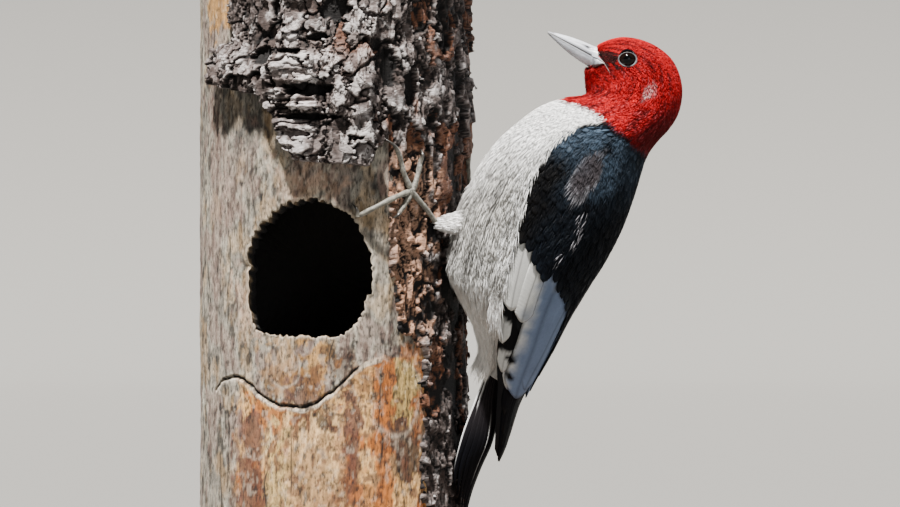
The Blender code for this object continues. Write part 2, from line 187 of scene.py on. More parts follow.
def ramp(tree, factor, stops):  # stops: (place, hex or grey number)
    node = addNode(tree, "ShaderNodeValToRGB", inputs={"Fac": factor})
    elements = node.color_ramp.elements
    while len(elements) < len(stops):
        elements.new(0.5)
    for element, (place, colour) in zip(elements, stops):
        element.position = place
        element.color = rgba(colour) if isinstance(colour, str) else (colour, colour, colour, 1)
    return node.outputs["Color"]


def objectPlace(tree, **mapping):  # place in the piece, stretched or turned where a mapping is given
    place = addNode(tree, "ShaderNodeTexCoord").outputs["Object"]
    if not mapping:
        return place
    return addNode(tree, "ShaderNodeMapping", inputs={"Vector": place, **mapping}).outputs[0]


def calculate(tree, operation, *values):
    return addNode(tree, "ShaderNodeMath", {"operation": operation}, dict(enumerate(values))).outputs[0]


def multiplyColours(tree, first, second):
    return addNode(tree, "ShaderNodeMix", {"data_type": "RGBA", "blend_type": "MULTIPLY"},
                   {0: 1.0, 6: first, 7: second}).outputs[2]


def raiseSurface(tree, main, height, strength, distance, invert=False):
    bump = addNode(tree, "ShaderNodeBump", {"invert": invert},
                   {"Height": height, "Strength": strength, "Distance": distance})
    tree.links.new(bump.outputs["Normal"], main.inputs["Normal"])


# A finish with a fine texture. Its stops darken the piece's own tone, or give the colours where it has none.
# Bump is strength and depth in metres, negative where the texture's high places are low on the piece.
def grainFinish(name, shader, texture, values, stops, bump=None, mapping=None, settings=None, toned=True):
    finish, tree, main = newFinish(name, **shader)
    place = objectPlace(tree, **(mapping or {}))
    grain = addNode(tree, "ShaderNodeTex" + texture, settings, {"Vector": place, **values})
    height = grain.outputs["Distance" if texture == "Voronoi" else "Fac"]
    colour = ramp(tree, height, stops)
    if toned:
        tone = addNode(tree, "ShaderNodeAttribute", {"attribute_name": "tone"})
        colour = multiplyColours(tree, tone.outputs["Color"], colour)
    tree.links.new(colour, main.inputs["Base Color"])
    if bump:
        raiseSurface(tree, main, height, abs(bump[0]), bump[1], invert=bump[0] < 0)
    return finish


# Contour feathers: keratin barbs with loose hooks, soft and slightly glossy; light scatters among them
def featherFinish(name, roughness, specular, sheen, sheenTint, speckle):
    shader = {"Roughness": roughness, "Specular IOR Level": specular,
              "Sheen Weight": sheen, "Sheen Roughness": 0.45, "Sheen Tint": rgba(sheenTint)}
    barbs = {"Scale": 900.0, "Detail": 3.0}  # about 1 mm, one barb's length
    return grainFinish(name, shader, "Noise", barbs, [(0.3, 1 - speckle), (0.7, 1.0)])


# Vanes of wing and tail: barbs zipped into a flat blade, seen as fine slanting ribs beside a round shaft
def vaneFinish(name, roughness, specular, sheenTint, ribsAcross=26.0):
    finish = featherFinish(name, roughness, specular, 0.0, sheenTint, 0.12)
    tree = finish.node_tree
    lengthwise = addNode(tree, "ShaderNodeAttribute", {"attribute_name": "lengthwise"})  # mm from the root
    across = addNode(tree, "ShaderNodeAttribute", {"attribute_name": "across"})  # -1 to 1
    side = calculate(tree, "ABSOLUTE", across.outputs["Fac"])
    slant = calculate(tree, "MULTIPLY_ADD", side, -2.2, lengthwise.outputs["Fac"])
    ribs = calculate(tree, "SINE", calculate(tree, "MULTIPLY", slant, ribsAcross / 2.6))  # coarser than real
    shaft = addNode(tree, "ShaderNodeMapRange", inputs={"Value": side, "From Min": 0.0, "From Max": 0.12,
                                                        "To Min": 4.0, "To Max": 0.0})
    high = calculate(tree, "ADD", ribs, shaft.outputs[0])
    raiseSurface(tree, tree.nodes["Principled BSDF"], high, 0.35, 0.0001)
    return finish


softRed = featherFinish("red contour feathers, loose barbs", 0.65, 0.12, 0.02, "#FF3030", 0.40)
softWhite = featherFinish("white contour feathers, loose barbs", 0.75, 0.4, 0.10, "#FFFFFF", 0.10)
softBlack = featherFinish("black contour feathers, structural blue gloss", 0.5, 0.10, 0.01, "#8FA8D8", 0.30)
vaneWhite = vaneFinish("white flight feathers, zipped barbs", 0.65, 0.08, "#FFFFFF")
vaneBlack = vaneFinish("black flight feathers, zipped barbs", 0.48, 0.05, "#8FA8D8")


# each station: back x, z, front x, z, half width, lift of the widest level, mid y, yaw in degrees
bodyForm = {
    "outer": np.array([
        (65.8, 247.6, 65.4, 237.2, 5.2, 0.00, -38.0, 0), (68.4, 248.9, 61.8, 237.9, 7.6, 0.00, -38.0, 0),
        (72.4, 250.4, 61.6, 235.6, 9.8, -0.05, -38.0, 0), (78.0, 251.2, 61.8, 232.8, 11.0, -0.10, -38.0, 0),
        (85.0, 250.0, 62.0, 230.4, 12.1, -0.12, -38.0, 0), (92.0, 246.8, 62.2, 228.6, 13.3, -0.12, -38.0, 0),
        (98.0, 241.4, 62.2, 227.2, 14.2, -0.10, -38.0, 0), (101.3, 234.0, 60.6, 226.2, 14.8, -0.06, -38.0, 1),
        (102.0, 226.4, 57.6, 225.6, 15.2, 0.00, -38.0, 3), (100.2, 218.6, 52.6, 225.2, 16.6, 0.04, -38.0, 5),
        (96.3, 212.4, 47.0, 224.0, 19.0, 0.08, -38.0, 7), (91.5, 207.2, 40.6, 221.0, 22.2, 0.12, -37.8, 9),
        (87.5, 201.4, 33.6, 215.8, 25.0, 0.14, -37.3, 11), (85.0, 193.4, 26.6, 209.6, 27.2, 0.15, -36.8, 12),
        (82.0, 183.0, 19.6, 200.4, 28.6, 0.14, -36.2, 14), (77.6, 171.0, 13.9, 189.8, 29.0, 0.12, -35.5, 15),
        (71.0, 157.8, 8.7, 178.4, 28.6, 0.10, -34.6, 16), (62.5, 144.4, 6.0, 165.2, 27.4, 0.08, -33.8, 17),
        (54.6, 131.0, 4.7, 153.2, 25.4, 0.08, -33.0, 18), (47.2, 117.2, 8.2, 141.4, 22.6, 0.10, -31.2, 19),
        (40.2, 105.4, 11.0, 130.0, 18.8, 0.12, -29.2, 20), (35.0, 95.6, 13.4, 117.4, 14.6, 0.12, -27.6, 20),
        (31.6, 86.0, 15.6, 105.2, 10.8, 0.10, -26.2, 21), (28.6, 77.6, 18.6, 94.0, 7.4, 0.10, -25.2, 21),
        (25.6, 71.8, 21.6, 83.0, 4.6, 0.10, -24.6, 21)]),
    "rump": np.array([
        (40.8, 118.8, 10.6, 140.6, 17.0, 0.00, -31.2, 19), (35.8, 112.6, 15.6, 130.0, 12.4, 0.00, -29.4, 20),
        (31.2, 106.0, 17.6, 119.6, 9.6, 0.00, -27.8, 20), (27.2, 101.6, 13.2, 107.0, 8.4, 0.00, -26.4, 21),
        (25.0, 94.0, 14.4, 97.0, 6.6, 0.00, -25.6, 21), (22.6, 87.0, 15.4, 88.0, 5.4, 0.00, -25.0, 21)]),
    "wingBack": ([11, 14, 16.5, 18, 24], [44, 30, 12, 5, 5]),  # station, degrees down from the back
    "wingFront": ([11, 12.5, 14, 15.5, 17, 19, 22, 24], [96, 102, 101, 94, 86, 79, 79, 84]),
    # degrees, station
    "hoodEdge": ([0, 15, 37, 81, 113, 159, 180], [11.65, 11.4, 11.15, 10.1, 9.25, 8.95, 8.8]),
    "whiteEdge": ([9, 10.3, 10.6, 11, 11.9, 12.5, 13.2, 13.7, 14.5, 15.3, 16.3, 17.6, 18.4],
                  [80, 82, 93, 97, 93, 94, 98, 101, 98, 97, 86, 60, 0]),  # station, degrees
    "coatDepth": 1.5,
    "wingHollow": 3.8,
}
fleshTable = np.vstack([bodyForm["outer"][:19], bodyForm["rump"]])
fleshEnd = 21.4  # two more rows only guide the last feathers


# smooth curve through the rows (Catmull-Rom)
def along(table, t):
    t = np.asarray(t, dtype=float)
    i = np.clip(np.floor(t).astype(int), 0, len(table) - 2)
    f = (t - i)[..., None]
    a, b, c, d = (table[np.clip(i + k, 0, len(table) - 1)] for k in (-1, 0, 1, 2))
    turned = (2 * a - 5 * b + 4 * c - d) * f ** 2
    return 0.5 * (2 * b + (c - a) * f + turned + (3 * b - 3 * c + d - a) * f ** 3)


# a ring is an ellipse from back to front point, phi from the back over the left side, turned by the yaw
def section(table, t, phi, depth):
    bx, bz, fx, fz, wide, lift, mid, yaw = np.moveaxis(along(table, t), -1, 0)
    up = np.cos(phi) * (1 - depth / (np.hypot(bx - fx, bz - fz) / 2))
    side = np.sin(phi - lift * np.sin(phi)) * (wide - depth)
    turn = np.radians(yaw)
    reach = (bx - fx) / 2 * up
    return abreast((bx + fx) / 2 + reach * np.cos(turn) - side * np.sin(turn),
                   mid - reach * np.sin(turn) - side * np.cos(turn),
                   (bz + fz) / 2 + (bz - fz) / 2 * up)


def fromBack(phi):  # degrees down from the middle of the back, the same on both sides
    return 180 - np.abs(np.degrees(phi) % 360 - 180)


def isLeft(phi):
    return np.degrees(phi) % 360 < 180


def outerForm(t, phi):  # the whole outline, folded wings included
    t, phi = np.broadcast_arrays(t, phi)
    return section(bodyForm["outer"], t, phi, 0.0)


def fleshForm(t, phi):  # body without wings: sunk where they lie over it, then the rump
    t, phi = np.broadcast_arrays(t, phi)
    down = fromBack(phi)
    back, front = np.interp(t, *bodyForm["wingBack"]), np.interp(t, *bodyForm["wingFront"])
    under = smoothStep(11.2, 12.4, t) * smoothStep(front + 2, front - 10, down)
    under = under * smoothStep(back - 6, back + 8, down) * smoothStep(19.2, 18.0, t)
    return section(fleshTable, t, phi, bodyForm["wingHollow"] * under)


# point, unit vectors along a, along b and outward, and how many millimetres one step of a and b is
def frameOn(form, a, b):
    e = 0.004
    p = form(a, b)
    alongA, alongB = (form(a + e, b) - form(a - e, b)) / (2 * e), (form(a, b + e) - form(a, b - e)) / (2 * e)
    stretchA, stretchB = np.linalg.norm(alongA, axis=-1), np.linalg.norm(alongB, axis=-1)
    return p, unit(alongA), unit(alongB), unit(np.cross(alongB, alongA)), stretchA, stretchB


def standOn(form, a, b):  # point and outward direction
    p, _, _, out, _, _ = frameOn(form, a, b)
    return p, out


def stretchOn(form, a, b):  # millimetres for one step of a and of b
    return frameOn(form, a, b)[4:]


def skinPlace(t, phi):  # unwrap of the skin: station across, turn up
    return abreast(0.01 + 0.9 * t / 25.0, 0.01 + unwrapPeriod * (np.degrees(phi) % 360) / 360)


roughNoise, fineNoise = makeNoise(3), makeNoise(8)

# blue is a painted blue sheen on the black; vaneShade is painted shade on the white wing feathers
plumage = palette(
    red="#8E020A", redBright="#CC0D18", redDeep="#260002", redPale="#DC5860", lore="#0B0403", white="#FEFEFD",
    whiteFlank="#C4C2BD", whiteBelly="#B4B4B2", greyDown="#4C4A48", black="#020307", blue="#3A4857",
    brownBlack="#090808", parted="#433D3F", partedRim="#A09EA4", vaneWhite="#ACACA9", vaneShade="#5E6B82")


def hoodTone(t, phi, down, wob, streak, fine):  # red, darker on the nape and between bill and eye
    c = plumage
    # sunlit: random light streaks, with painted light brighter towards the crown
    sunlit = 0.35 + 0.5 * streak + 0.15 * fine + 0.5 * smoothStep(60, 10, down)
    shade = 0.6 * smoothStep(1.1, 2.2, fine) + 0.55 * smoothStep(0.15, 0.8, -streak - 0.3 * wob)
    # malar, nape and throat darken as painted shade: below the gape, on the nape and under the throat
    malar = smoothStep(1.3, 0.3, np.hypot((t - 3.4) / 1.8, (down - 104) / 12))
    nape = smoothStep(6.0, 10.0, t + streak) * smoothStep(75, 25, down)
    throat = smoothStep(105, 150, down) * smoothStep(9.5, 6.0, t)
    lore = smoothStep(1.2, 0.8, np.hypot((t - 2.4) / 1.9, (down - 84) / 16) + 0.5 * streak + 0.12 * fine)
    patch = smoothStep(1.2, 0.3, np.hypot((t - 7.3) / 0.7, (down - 66) / 8) + 0.5 * streak) * isLeft(phi)
    return paint(c["red"], (c["redBright"], np.clip(sunlit, 0, 1)), (c["redDeep"], np.clip(shade, 0, 0.9)),
                 (c["redDeep"], np.clip(0.6 * malar + 0.9 * nape + 0.35 * throat, 0, 0.9)),
                 (c["redPale"], 0.45 * smoothStep(0.9, 1.8, -fine) * smoothStep(2.5, 5, t + streak)),
                 (blendTone(c["lore"], c["greyDown"], np.clip(0.2 * fine - 0.1, 0, 0.3)), 0.92 * lore),
                 (blendTone(c["redPale"], c["white"], np.clip(0.35 + 0.4 * fine, 0, 1)), 0.42 * patch))


def underTone(t, down, wob, streak, fine):  # white; the grey in the gaps of the loose flank is partly down showing and partly painted shade, and the greyer lower flank and belly are partly painted shade
    c = plumage
    low = smoothStep(12.0, 15.5, t + 0.02 * (120 - down) + 0.5 * wob)
    gaps = 0.75 * smoothStep(-0.08, 0.55, streak + 0.3 * fine) * low * (1 - 0.7 * smoothStep(16.8, 18.2, t))
    # shaded: painted shade along the wing's front edge
    shaded = smoothStep(17, 3, down - np.interp(t, *bodyForm["wingFront"])) * smoothStep(12.6, 14.2, t)
    pale = paint(c["white"], (c["whiteFlank"], low),
                 (c["whiteBelly"], 0.8 * smoothStep(14.5, 18.5, t + 0.4 * wob)), (c["greyDown"], gaps),
                 (c["greyDown"], 0.4 * shaded * np.clip(0.8 + 0.8 * streak, 0, 1)))
    return pale * (1 + 0.8 * smoothStep(16.8, 19, t))[..., None]  # painted light: lighter below the legs, where the body shades the feathers


# colour by place on the body: hood, underparts, back, with soft uneven borders; streaks run with the lie
def bodyTone(t, phi, p, spread, rng):
    down = fromBack(phi)
    wob = fractal(roughNoise, p / 5.0, 2)
    streak = fractal(fineNoise, abreast(t * 0.9, down * 0.3, np.sign(np.sin(phi)) * 9.0), 2)
    hood = smoothStep(-0.12, 0.12, np.interp(down, *bodyForm["hoodEdge"]) + 0.14 * wob - t)
    white = smoothStep(-2.5, 2.5, down - np.interp(t, *bodyForm["whiteEdge"]) + 2.5 * wob)
    fine = rng.normal(0, 1, np.shape(t))
    # dark: black with painted blue sheen in patches, browner low on the sides
    dark = paint(plumage["black"], (plumage["blue"], np.clip(0.45 + 0.6 * wob + 0.2 * fine, 0, 1) * 0.7),
                 (plumage["brownBlack"], smoothStep(75, 95, down)))
    tone = paint(dark, (underTone(t, down, wob, streak, fine), white),
                 (hoodTone(t, phi, down, wob, streak, fine), hood))
    return tone * (1 + spread * 0.10 * fine[..., None])


def buildSkin():  # one closed surface of flesh, inside the coat
    rng = np.random.default_rng(1)
    t = np.linspace(0.06, fleshEnd - 0.05, 190)[:, None]
    phi = fullTurn(112)[None, :]
    p, out = standOn(fleshForm, t, phi)
    p = p - out * bodyForm["coatDepth"]
    t, phi = t + 0 * phi, phi + 0 * t
    # the skin's colour is the coat's at 0.55: painted shade deep among the tufts
    verts, tones = withEnds(p), withEnds(bodyTone(t, phi, p, 0.0, rng) * 0.55)
    uv = np.vstack([skinPlace(t, phi).reshape(-1, 2), [[0.01, 0.5], [0.92, 0.5]]])
    faces = tubeFaces(*t.shape)
    for side in ("left", "right"):
        shell, shellFaces = thighShell(side)
        faces += [f + len(verts) for f in shellFaces]
        verts = np.vstack([verts, shell])
        # the thigh shells take a greyed flank white: painted shade among the thigh tufts
        tones = np.vstack([tones, np.tile(plumage["whiteFlank"] * 0.6, (len(shell), 1))])
        uv = np.vstack([uv, np.tile([[0.97, 0.5]], (len(shell), 1))])
    makePiece("skin", verts, faces, softWhite,
              ["head", "neck", "breast", "belly", "rump", "thigh_left", "thigh_right"], tones, uv)


legs = {
    "ankle": {"left": (-0.4, -38.6, 172.6), "right": (13.6, -7.4, 175.0)},
    "knee": {"left": (26.0, -42.0, 173.6), "right": (30.0, -26.0, 177.0)},
    "foot": {"left": (36.0, 186.2), "right": (93.0, 191.5)},  # degrees round from the trunk's front, height
    "thighRadii": (2.1, 10.5),
    # toes: points (outward, upward) from the foot's middle, then the claw's tip
    "toes": [([(2.2, -0.4), (9.0, -2.6), (17.0, -6.6), (23.5, -10.6)], (25.4, -4.8)),
             ([(1.1, 2.4), (4.0, 8.0), (5.6, 13.0), (7.6, 17.6)], (12.6, 22.0)),
             ([(-1.6, 2.2), (-3.6, 7.6), (-4.8, 13.0)], (-5.6, 18.0)),
             ([(1.2, -2.4), (3.6, -5.6), (6.2, -8.4)], (9.6, -11.4))],
}


# a cone from knee to ankle: s along it, turn about its axis
def thighForm(side):
    knee, ankle = np.array(legs["knee"][side]), np.array(legs["ankle"][side])
    axis = unit(ankle - knee)
    first = unit(np.cross(axis, [0.0, 0.0, 1.0]))
    second = np.cross(axis, first)

    def form(s, turn):
        s, turn = np.broadcast_arrays(s, turn)
        radius = legs["thighRadii"][1] + (legs["thighRadii"][0] - legs["thighRadii"][1]) * s
        return (knee + (ankle - knee) * s[..., None]
                + radius[..., None] * (np.cos(turn)[..., None] * first + np.sin(turn)[..., None] * second))
    return form


def thighShell(side):
    s, turn = np.linspace(0, 0.98, 12)[:, None], fullTurn(20)[None, :]
    p, out = standOn(thighForm(side), s, turn)
    return withEnds(p - out * 0.9), tubeFaces(12, 20)


# a tuft: closed three-sided blade from the skin outward along the lie; girth and shade by share of length,
# the shade darker at the root, partly the feather's grey base and partly painted shade, and lighter at the
# tip
tuft = {"steps": np.array([0.0, 0.34, 0.7, 1.0]), "girth": np.array([0.7, 1.0, 0.72, 0.0]),
        "shade": np.array([0.55, 0.9, 1.0, 1.1]), "thick": 0.22}


# root + s*length along the lie turned by yaw; height eases from root depth to the stand at the tip
def growTufts(form, a, b, length, width, rootDepth, stand, yaw, tone, place):
    steps, girth, n = tuft["steps"], tuft["girth"], len(a)
    stretchA, stretchB = stretchOn(form, a, b)
    da, db = np.cos(yaw) * length / stretchA, np.sin(yaw) * length / stretchB
    p, out = standOn(form, a[:, None] + da[:, None] * steps, b[:, None] + db[:, None] * steps)
    height = -rootDepth + (stand + rootDepth)[:, None] * (1 - (1 - steps) ** 2)
    centre = p + out * height[..., None]
    way = unit(np.gradient(centre, axis=1))
    side = unit(np.cross(out, way)) * (width[:, None] * girth / 2)[..., None]
    top = centre + out * (tuft["thick"] * width[:, None] * girth)[..., None]
    rings = np.stack([centre - side, centre + side, top], axis=2)[:, :3].reshape(n, 9, 3)
    level = np.repeat([0, 1, 2, 3], [3, 3, 3, 1])
    spread = abreast((level / 3 - 0.5) * 0.003, np.array([-1, 1, 0] * 3 + [0]) * 0.0015)
    return (np.concatenate([rings, centre[:, 3:4]], axis=1),
            tone[:, None, :] * tuft["shade"][level][None, :, None], place[:, None, :] + spread[None])


def tuftFaces(n):
    quads, tris = [], [(0, 2, 1)]
    for i in range(3):
        j = (i + 1) % 3
        quads += [(k + i, k + j, k + j + 3, k + i + 3) for k in (0, 3)]
        tris.append((6 + i, 6 + j, 9))
    base = (np.arange(n) * 10)[:, None, None]
    return [(base + np.array(quads)).reshape(-1, 4), (base + np.array(tris)).reshape(-1, 3)]


# roots spread evenly over a form: cells weighted by their area times a wanted density
def scatter(form, spanA, spanB, count, density, rng, cells=240):
    a, b = np.meshgrid(np.linspace(*spanA, cells), np.linspace(*spanB, cells), indexing="ij")
    stretchA, stretchB = stretchOn(form, a, b)
    total = np.cumsum((stretchA * stretchB * density(a, b)).ravel())
    pick = (np.arange(count) + rng.random(count)) / count * total[-1]
    cell = rng.permutation(np.clip(np.searchsorted(total, pick), 0, len(total) - 1))
    stepA, stepB = (spanA[1] - spanA[0]) / (cells - 1), (spanB[1] - spanB[0]) / (cells - 1)
    return (a.ravel()[cell] + (rng.random(count) - 0.5) * stepA,
            b.ravel()[cell] + (rng.random(count) - 0.5) * stepB)


eyes = {"centre": (78.9, 241.7), "radius": 4.4, "out": 9.6, "headY": -38.0, "opening": 4.0}


def eyeDistance(p):  # millimetres from the nearer eye's axis, seen from the side
    return np.hypot(p[..., 0] - eyes["centre"][0], (p[..., 2] - eyes["centre"][1]) / 0.80)


# a coat in pieces of perPiece tufts at most; look's length, width, stand, yaw and tone are functions of place
def coatPieces(name, form, roots, look, finish, seed, perPiece=11500):
    a, b = roots
    rng = np.random.default_rng(seed)
    order = np.argsort(a, kind="stable")
    a, b = a[order], b[order]
    if "keep" in look:
        keep = look["keep"](a, b)
        a, b = a[keep], b[keep]
    parts = math.ceil(len(a) / perPiece)
    for number in range(parts):
        part = slice(number * len(a) // parts, (number + 1) * len(a) // parts)
        ta, tb = a[part], b[part]
        n = len(ta)
        p = form(ta, tb)
        length = look["length"](ta, tb, p) * rng.uniform(0.75, 1.25, n)
        width = look["width"](ta, tb, p) * rng.uniform(0.7, 1.3, n)
        stand = look["stand"](ta, tb, p) * rng.uniform(0.2, 1.4, n)
        yaw = look["yaw"](ta, tb, p) + rng.normal(0, look["spread"], n)
        tone = look["tone"](ta, tb, p, rng)
        verts, tones, uv = growTufts(form, ta, tb, length, width, look["depth"], stand, yaw, tone,
                                     look.get("place", skinPlace)(ta, tb))
        makePiece(f"{name}_{number + 1}", verts, tuftFaces(n), finish, (), tones, uv)
    print(name, "tufts", len(a))


def hoodMask(t, phi):
    return np.interp(fromBack(phi), *bodyForm["hoodEdge"]) - t


def headLength(t, phi, p):
    grown = np.interp(t, [0, 1.5, 3.5, 6, 9, 12], [1.2, 1.5, 2.2, 3.2, 4.2, 5.0])
    near = np.clip((eyeDistance(p) - eyes["opening"]) * 0.6 + 0.7, 0.7, 9)
    return np.where(t < 7, np.minimum(grown, near), grown)


# near the eye the lie bends round it, as water round a stone
def headYaw(t, phi, p):
    dx, dz = p[..., 0] - eyes["centre"][0], p[..., 2] - eyes["centre"][1]
    bend = smoothStep(9.0, 4.5, np.hypot(dx, dz)) * (t < 7)
    across = np.where(dz > 0, -1, 1) * np.clip(1.4 - np.abs(dz) / 5, 0, 1)
    ahead = np.where(dx < 0, 1.0, -0.35)
    return np.where(isLeft(phi), 1.0, -1.0) * bend * across * ahead * 0.9 + 0.25 * roughNoise(p / 3.0)


def throatStand(phi, share):  # under the throat and belly the tufts stand off a little more
    return 0.5 * smoothStep(140, 165, fromBack(phi)) * share


def buildHood():
    rng = np.random.default_rng(21)

    def density(t, phi):
        return np.interp(t, [0, 3, 6, 10], [2.4, 1.9, 1.3, 1.0]) * (hoodMask(t, phi) > -0.1)

    roots = scatter(fleshForm, (0.02, 12.1), (0, 2 * np.pi), 33000, density, rng)

    def keep(t, phi):
        p = fleshForm(t, phi)
        atEye = (eyeDistance(p) < eyes["opening"]) & (t < 7)
        x, z = p[..., 0], p[..., 2]
        gape = (x < 69.6) & (z > 238.5 + 0.36 * (x - 64.2)) & (z < 247.6 - 1.38 * (x - 64.4))
        return (hoodMask(t, phi) > -0.15) & ~atEye & ~(gape & (np.abs(fromBack(phi) - 90) < 70))

    look = {
        "keep": keep, "length": headLength, "yaw": headYaw, "spread": 0.09, "depth": 1.0,
        "width": lambda t, phi, p: np.interp(t, [0, 3, 8, 12], [0.28, 0.36, 0.55, 0.65]),
        "stand": lambda t, phi, p: (np.interp(t, [0, 3, 8, 12], [0.04, 0.10, 0.20, 0.32])
                                    + throatStand(phi, t < 8)),
        "tone": lambda t, phi, p, r: bodyTone(t, phi, p, 1.0, r),
    }
    coatPieces("coat_hood", fleshForm, roots, look, softRed, 22)


def flankYaw(t, phi, p):  # on the flank the plumes hang straight down, not along the body
    down = fromBack(phi)
    flank = smoothStep(12.5, 15, t) * smoothStep(80, 95, down) * smoothStep(165, 140, down)
    loose = (0.10 * roughNoise(p / 8.0) + 0.10 * fineNoise(p / 1.6)) * smoothStep(9, 14, t)
    return loose - 0.3 * np.where(isLeft(phi), 1.0, -1.0) * flank


def clearOfTail(t, phi):  # the coverts end in a slanting line over the tail's base
    p = fleshForm(t, phi)
    return (t > 8.9) & ((t < 19) | (p[..., 2] > 109 + 0.85 * (p[..., 0] - 14)))


def buildUnderparts():
    rng = np.random.default_rng(31)

    def density(t, phi):
        pale = fromBack(phi) > np.interp(t, *bodyForm["whiteEdge"]) - 4
        return pale * (hoodMask(t, phi) < 0.1) * np.interp(t, [9, 14, 18, 20, 22], [1.4, 1.0, 0.9, 1.1, 2.0])

    def stand(t, phi, p):
        loose = (0.35 * roughNoise(p / 4.0) + 0.6 * fineNoise(p / 0.9)) * smoothStep(11.5, 14, t)
        return (np.interp(t, [9, 12, 15, 22], [0.10, 0.15, 0.60, 0.60]) + loose
                + throatStand(phi, smoothStep(13, 15, t)))

    roots = scatter(fleshForm, (9.0, fleshEnd - 0.3), (0, 2 * np.pi), 31500, density, rng)
    look = {
        "keep": clearOfTail, "stand": stand, "yaw": flankYaw, "spread": 0.07, "depth": 1.2,
        "length": lambda t, phi, p: np.interp(t, [9, 11, 14, 18, 21, 22], [4.0, 5.5, 8.5, 9.5, 8.5, 7.0]),
        "width": lambda t, phi, p: np.interp(t, [9, 12, 15, 22], [0.55, 0.50, 0.36, 0.38]),
        "tone": lambda t, phi, p, r: bodyTone(t, phi, p, 0.5, r),
    }
    coatPieces("coat_underparts", fleshForm, roots, look, softWhite, 32)


def speckled(light, dark, middle, vary, most):  # each tuft its own share of the darker tone
    return lambda a, b, p, r: blendTone(plumage[light], plumage[dark],
                                        np.clip(middle + vary * r.normal(0, 1, len(a)), 0, most))


def buildFlankPlumes():  # loose thin plumes of the flank, lying over the wing's front edge
    for side, seed, mirror in (("left", 35, 1.0), ("right", 36, -1.0)):
        rng = np.random.default_rng(seed)
        t = rng.uniform(11.3, 18.6, 1500)
        down = np.interp(t, *bodyForm["wingFront"]) + rng.uniform(-2.5, 9.0, 1500)
        look = {
            "length": lambda t, phi, p: np.interp(t, [11, 13, 18], [3.5, 7.0, 8.5]),
            "width": lambda t, phi, p: 0.30, "stand": lambda t, phi, p: 0.45 + 0.3 * roughNoise(p / 3.0),
            "yaw": lambda t, phi, p: -mirror * np.abs(0.22 + 0.2 * roughNoise(p / 4.0)), "spread": 0.12,
            "depth": 0.6, "tone": speckled("white", "greyDown", 0.15, 0.25, 0.7),
        }
        coatPieces(f"coat_flank_{side}", outerForm, (t, mirror * np.radians(down)), look, softWhite,
                   seed + 2)


def buildThighCoats():
    for side, seed in (("left", 41), ("right", 42)):
        rng = np.random.default_rng(seed)
        form = thighForm(side)
        roots = scatter(form, (0.0, 0.93), (0, 2 * np.pi), 2600, lambda s, turn: 1 + s, rng)
        look = {
            "length": lambda s, turn, p: 6.0 - 2.2 * s, "width": lambda s, turn, p: 0.5 - 0.12 * s,
            "stand": lambda s, turn, p: 0.45 + 0.5 * fineNoise(p / 0.9), "spread": 0.1, "depth": 0.7,
            "yaw": lambda s, turn, p: 0.3 * roughNoise(p / 2.5),
            "tone": speckled("white", "whiteFlank", 0.4, 0.4, 1),
            "place": lambda s, turn: abreast(0.94 + 0.05 * s, 0.02 + 0.96 * turn / 6.3),
        }
        coatPieces(f"coat_thigh_{side}", form, roots, look, softWhite, seed + 2)


vaneOutlines = {  # half width by share of length
    "soft": ([0, 0.3, 0.68, 0.84, 0.94, 1.0], [0.45, 0.85, 1.0, 0.86, 0.58, 0.15]),
    "blade": ([0, 0.15, 0.5, 0.86, 0.95, 1.0], [0.7, 0.95, 1.0, 0.85, 0.55, 0.12]),
    "round": ([0, 0.15, 0.5, 0.80, 0.90, 0.955, 0.985, 1.0], [0.7, 0.95, 1.0, 1.0, 0.97, 0.92, 0.82, 0.7]),
    "stiff": ([0, 0.2, 0.55, 0.85, 1.0], [0.75, 1.0, 0.8, 0.42, 0.06]),
}


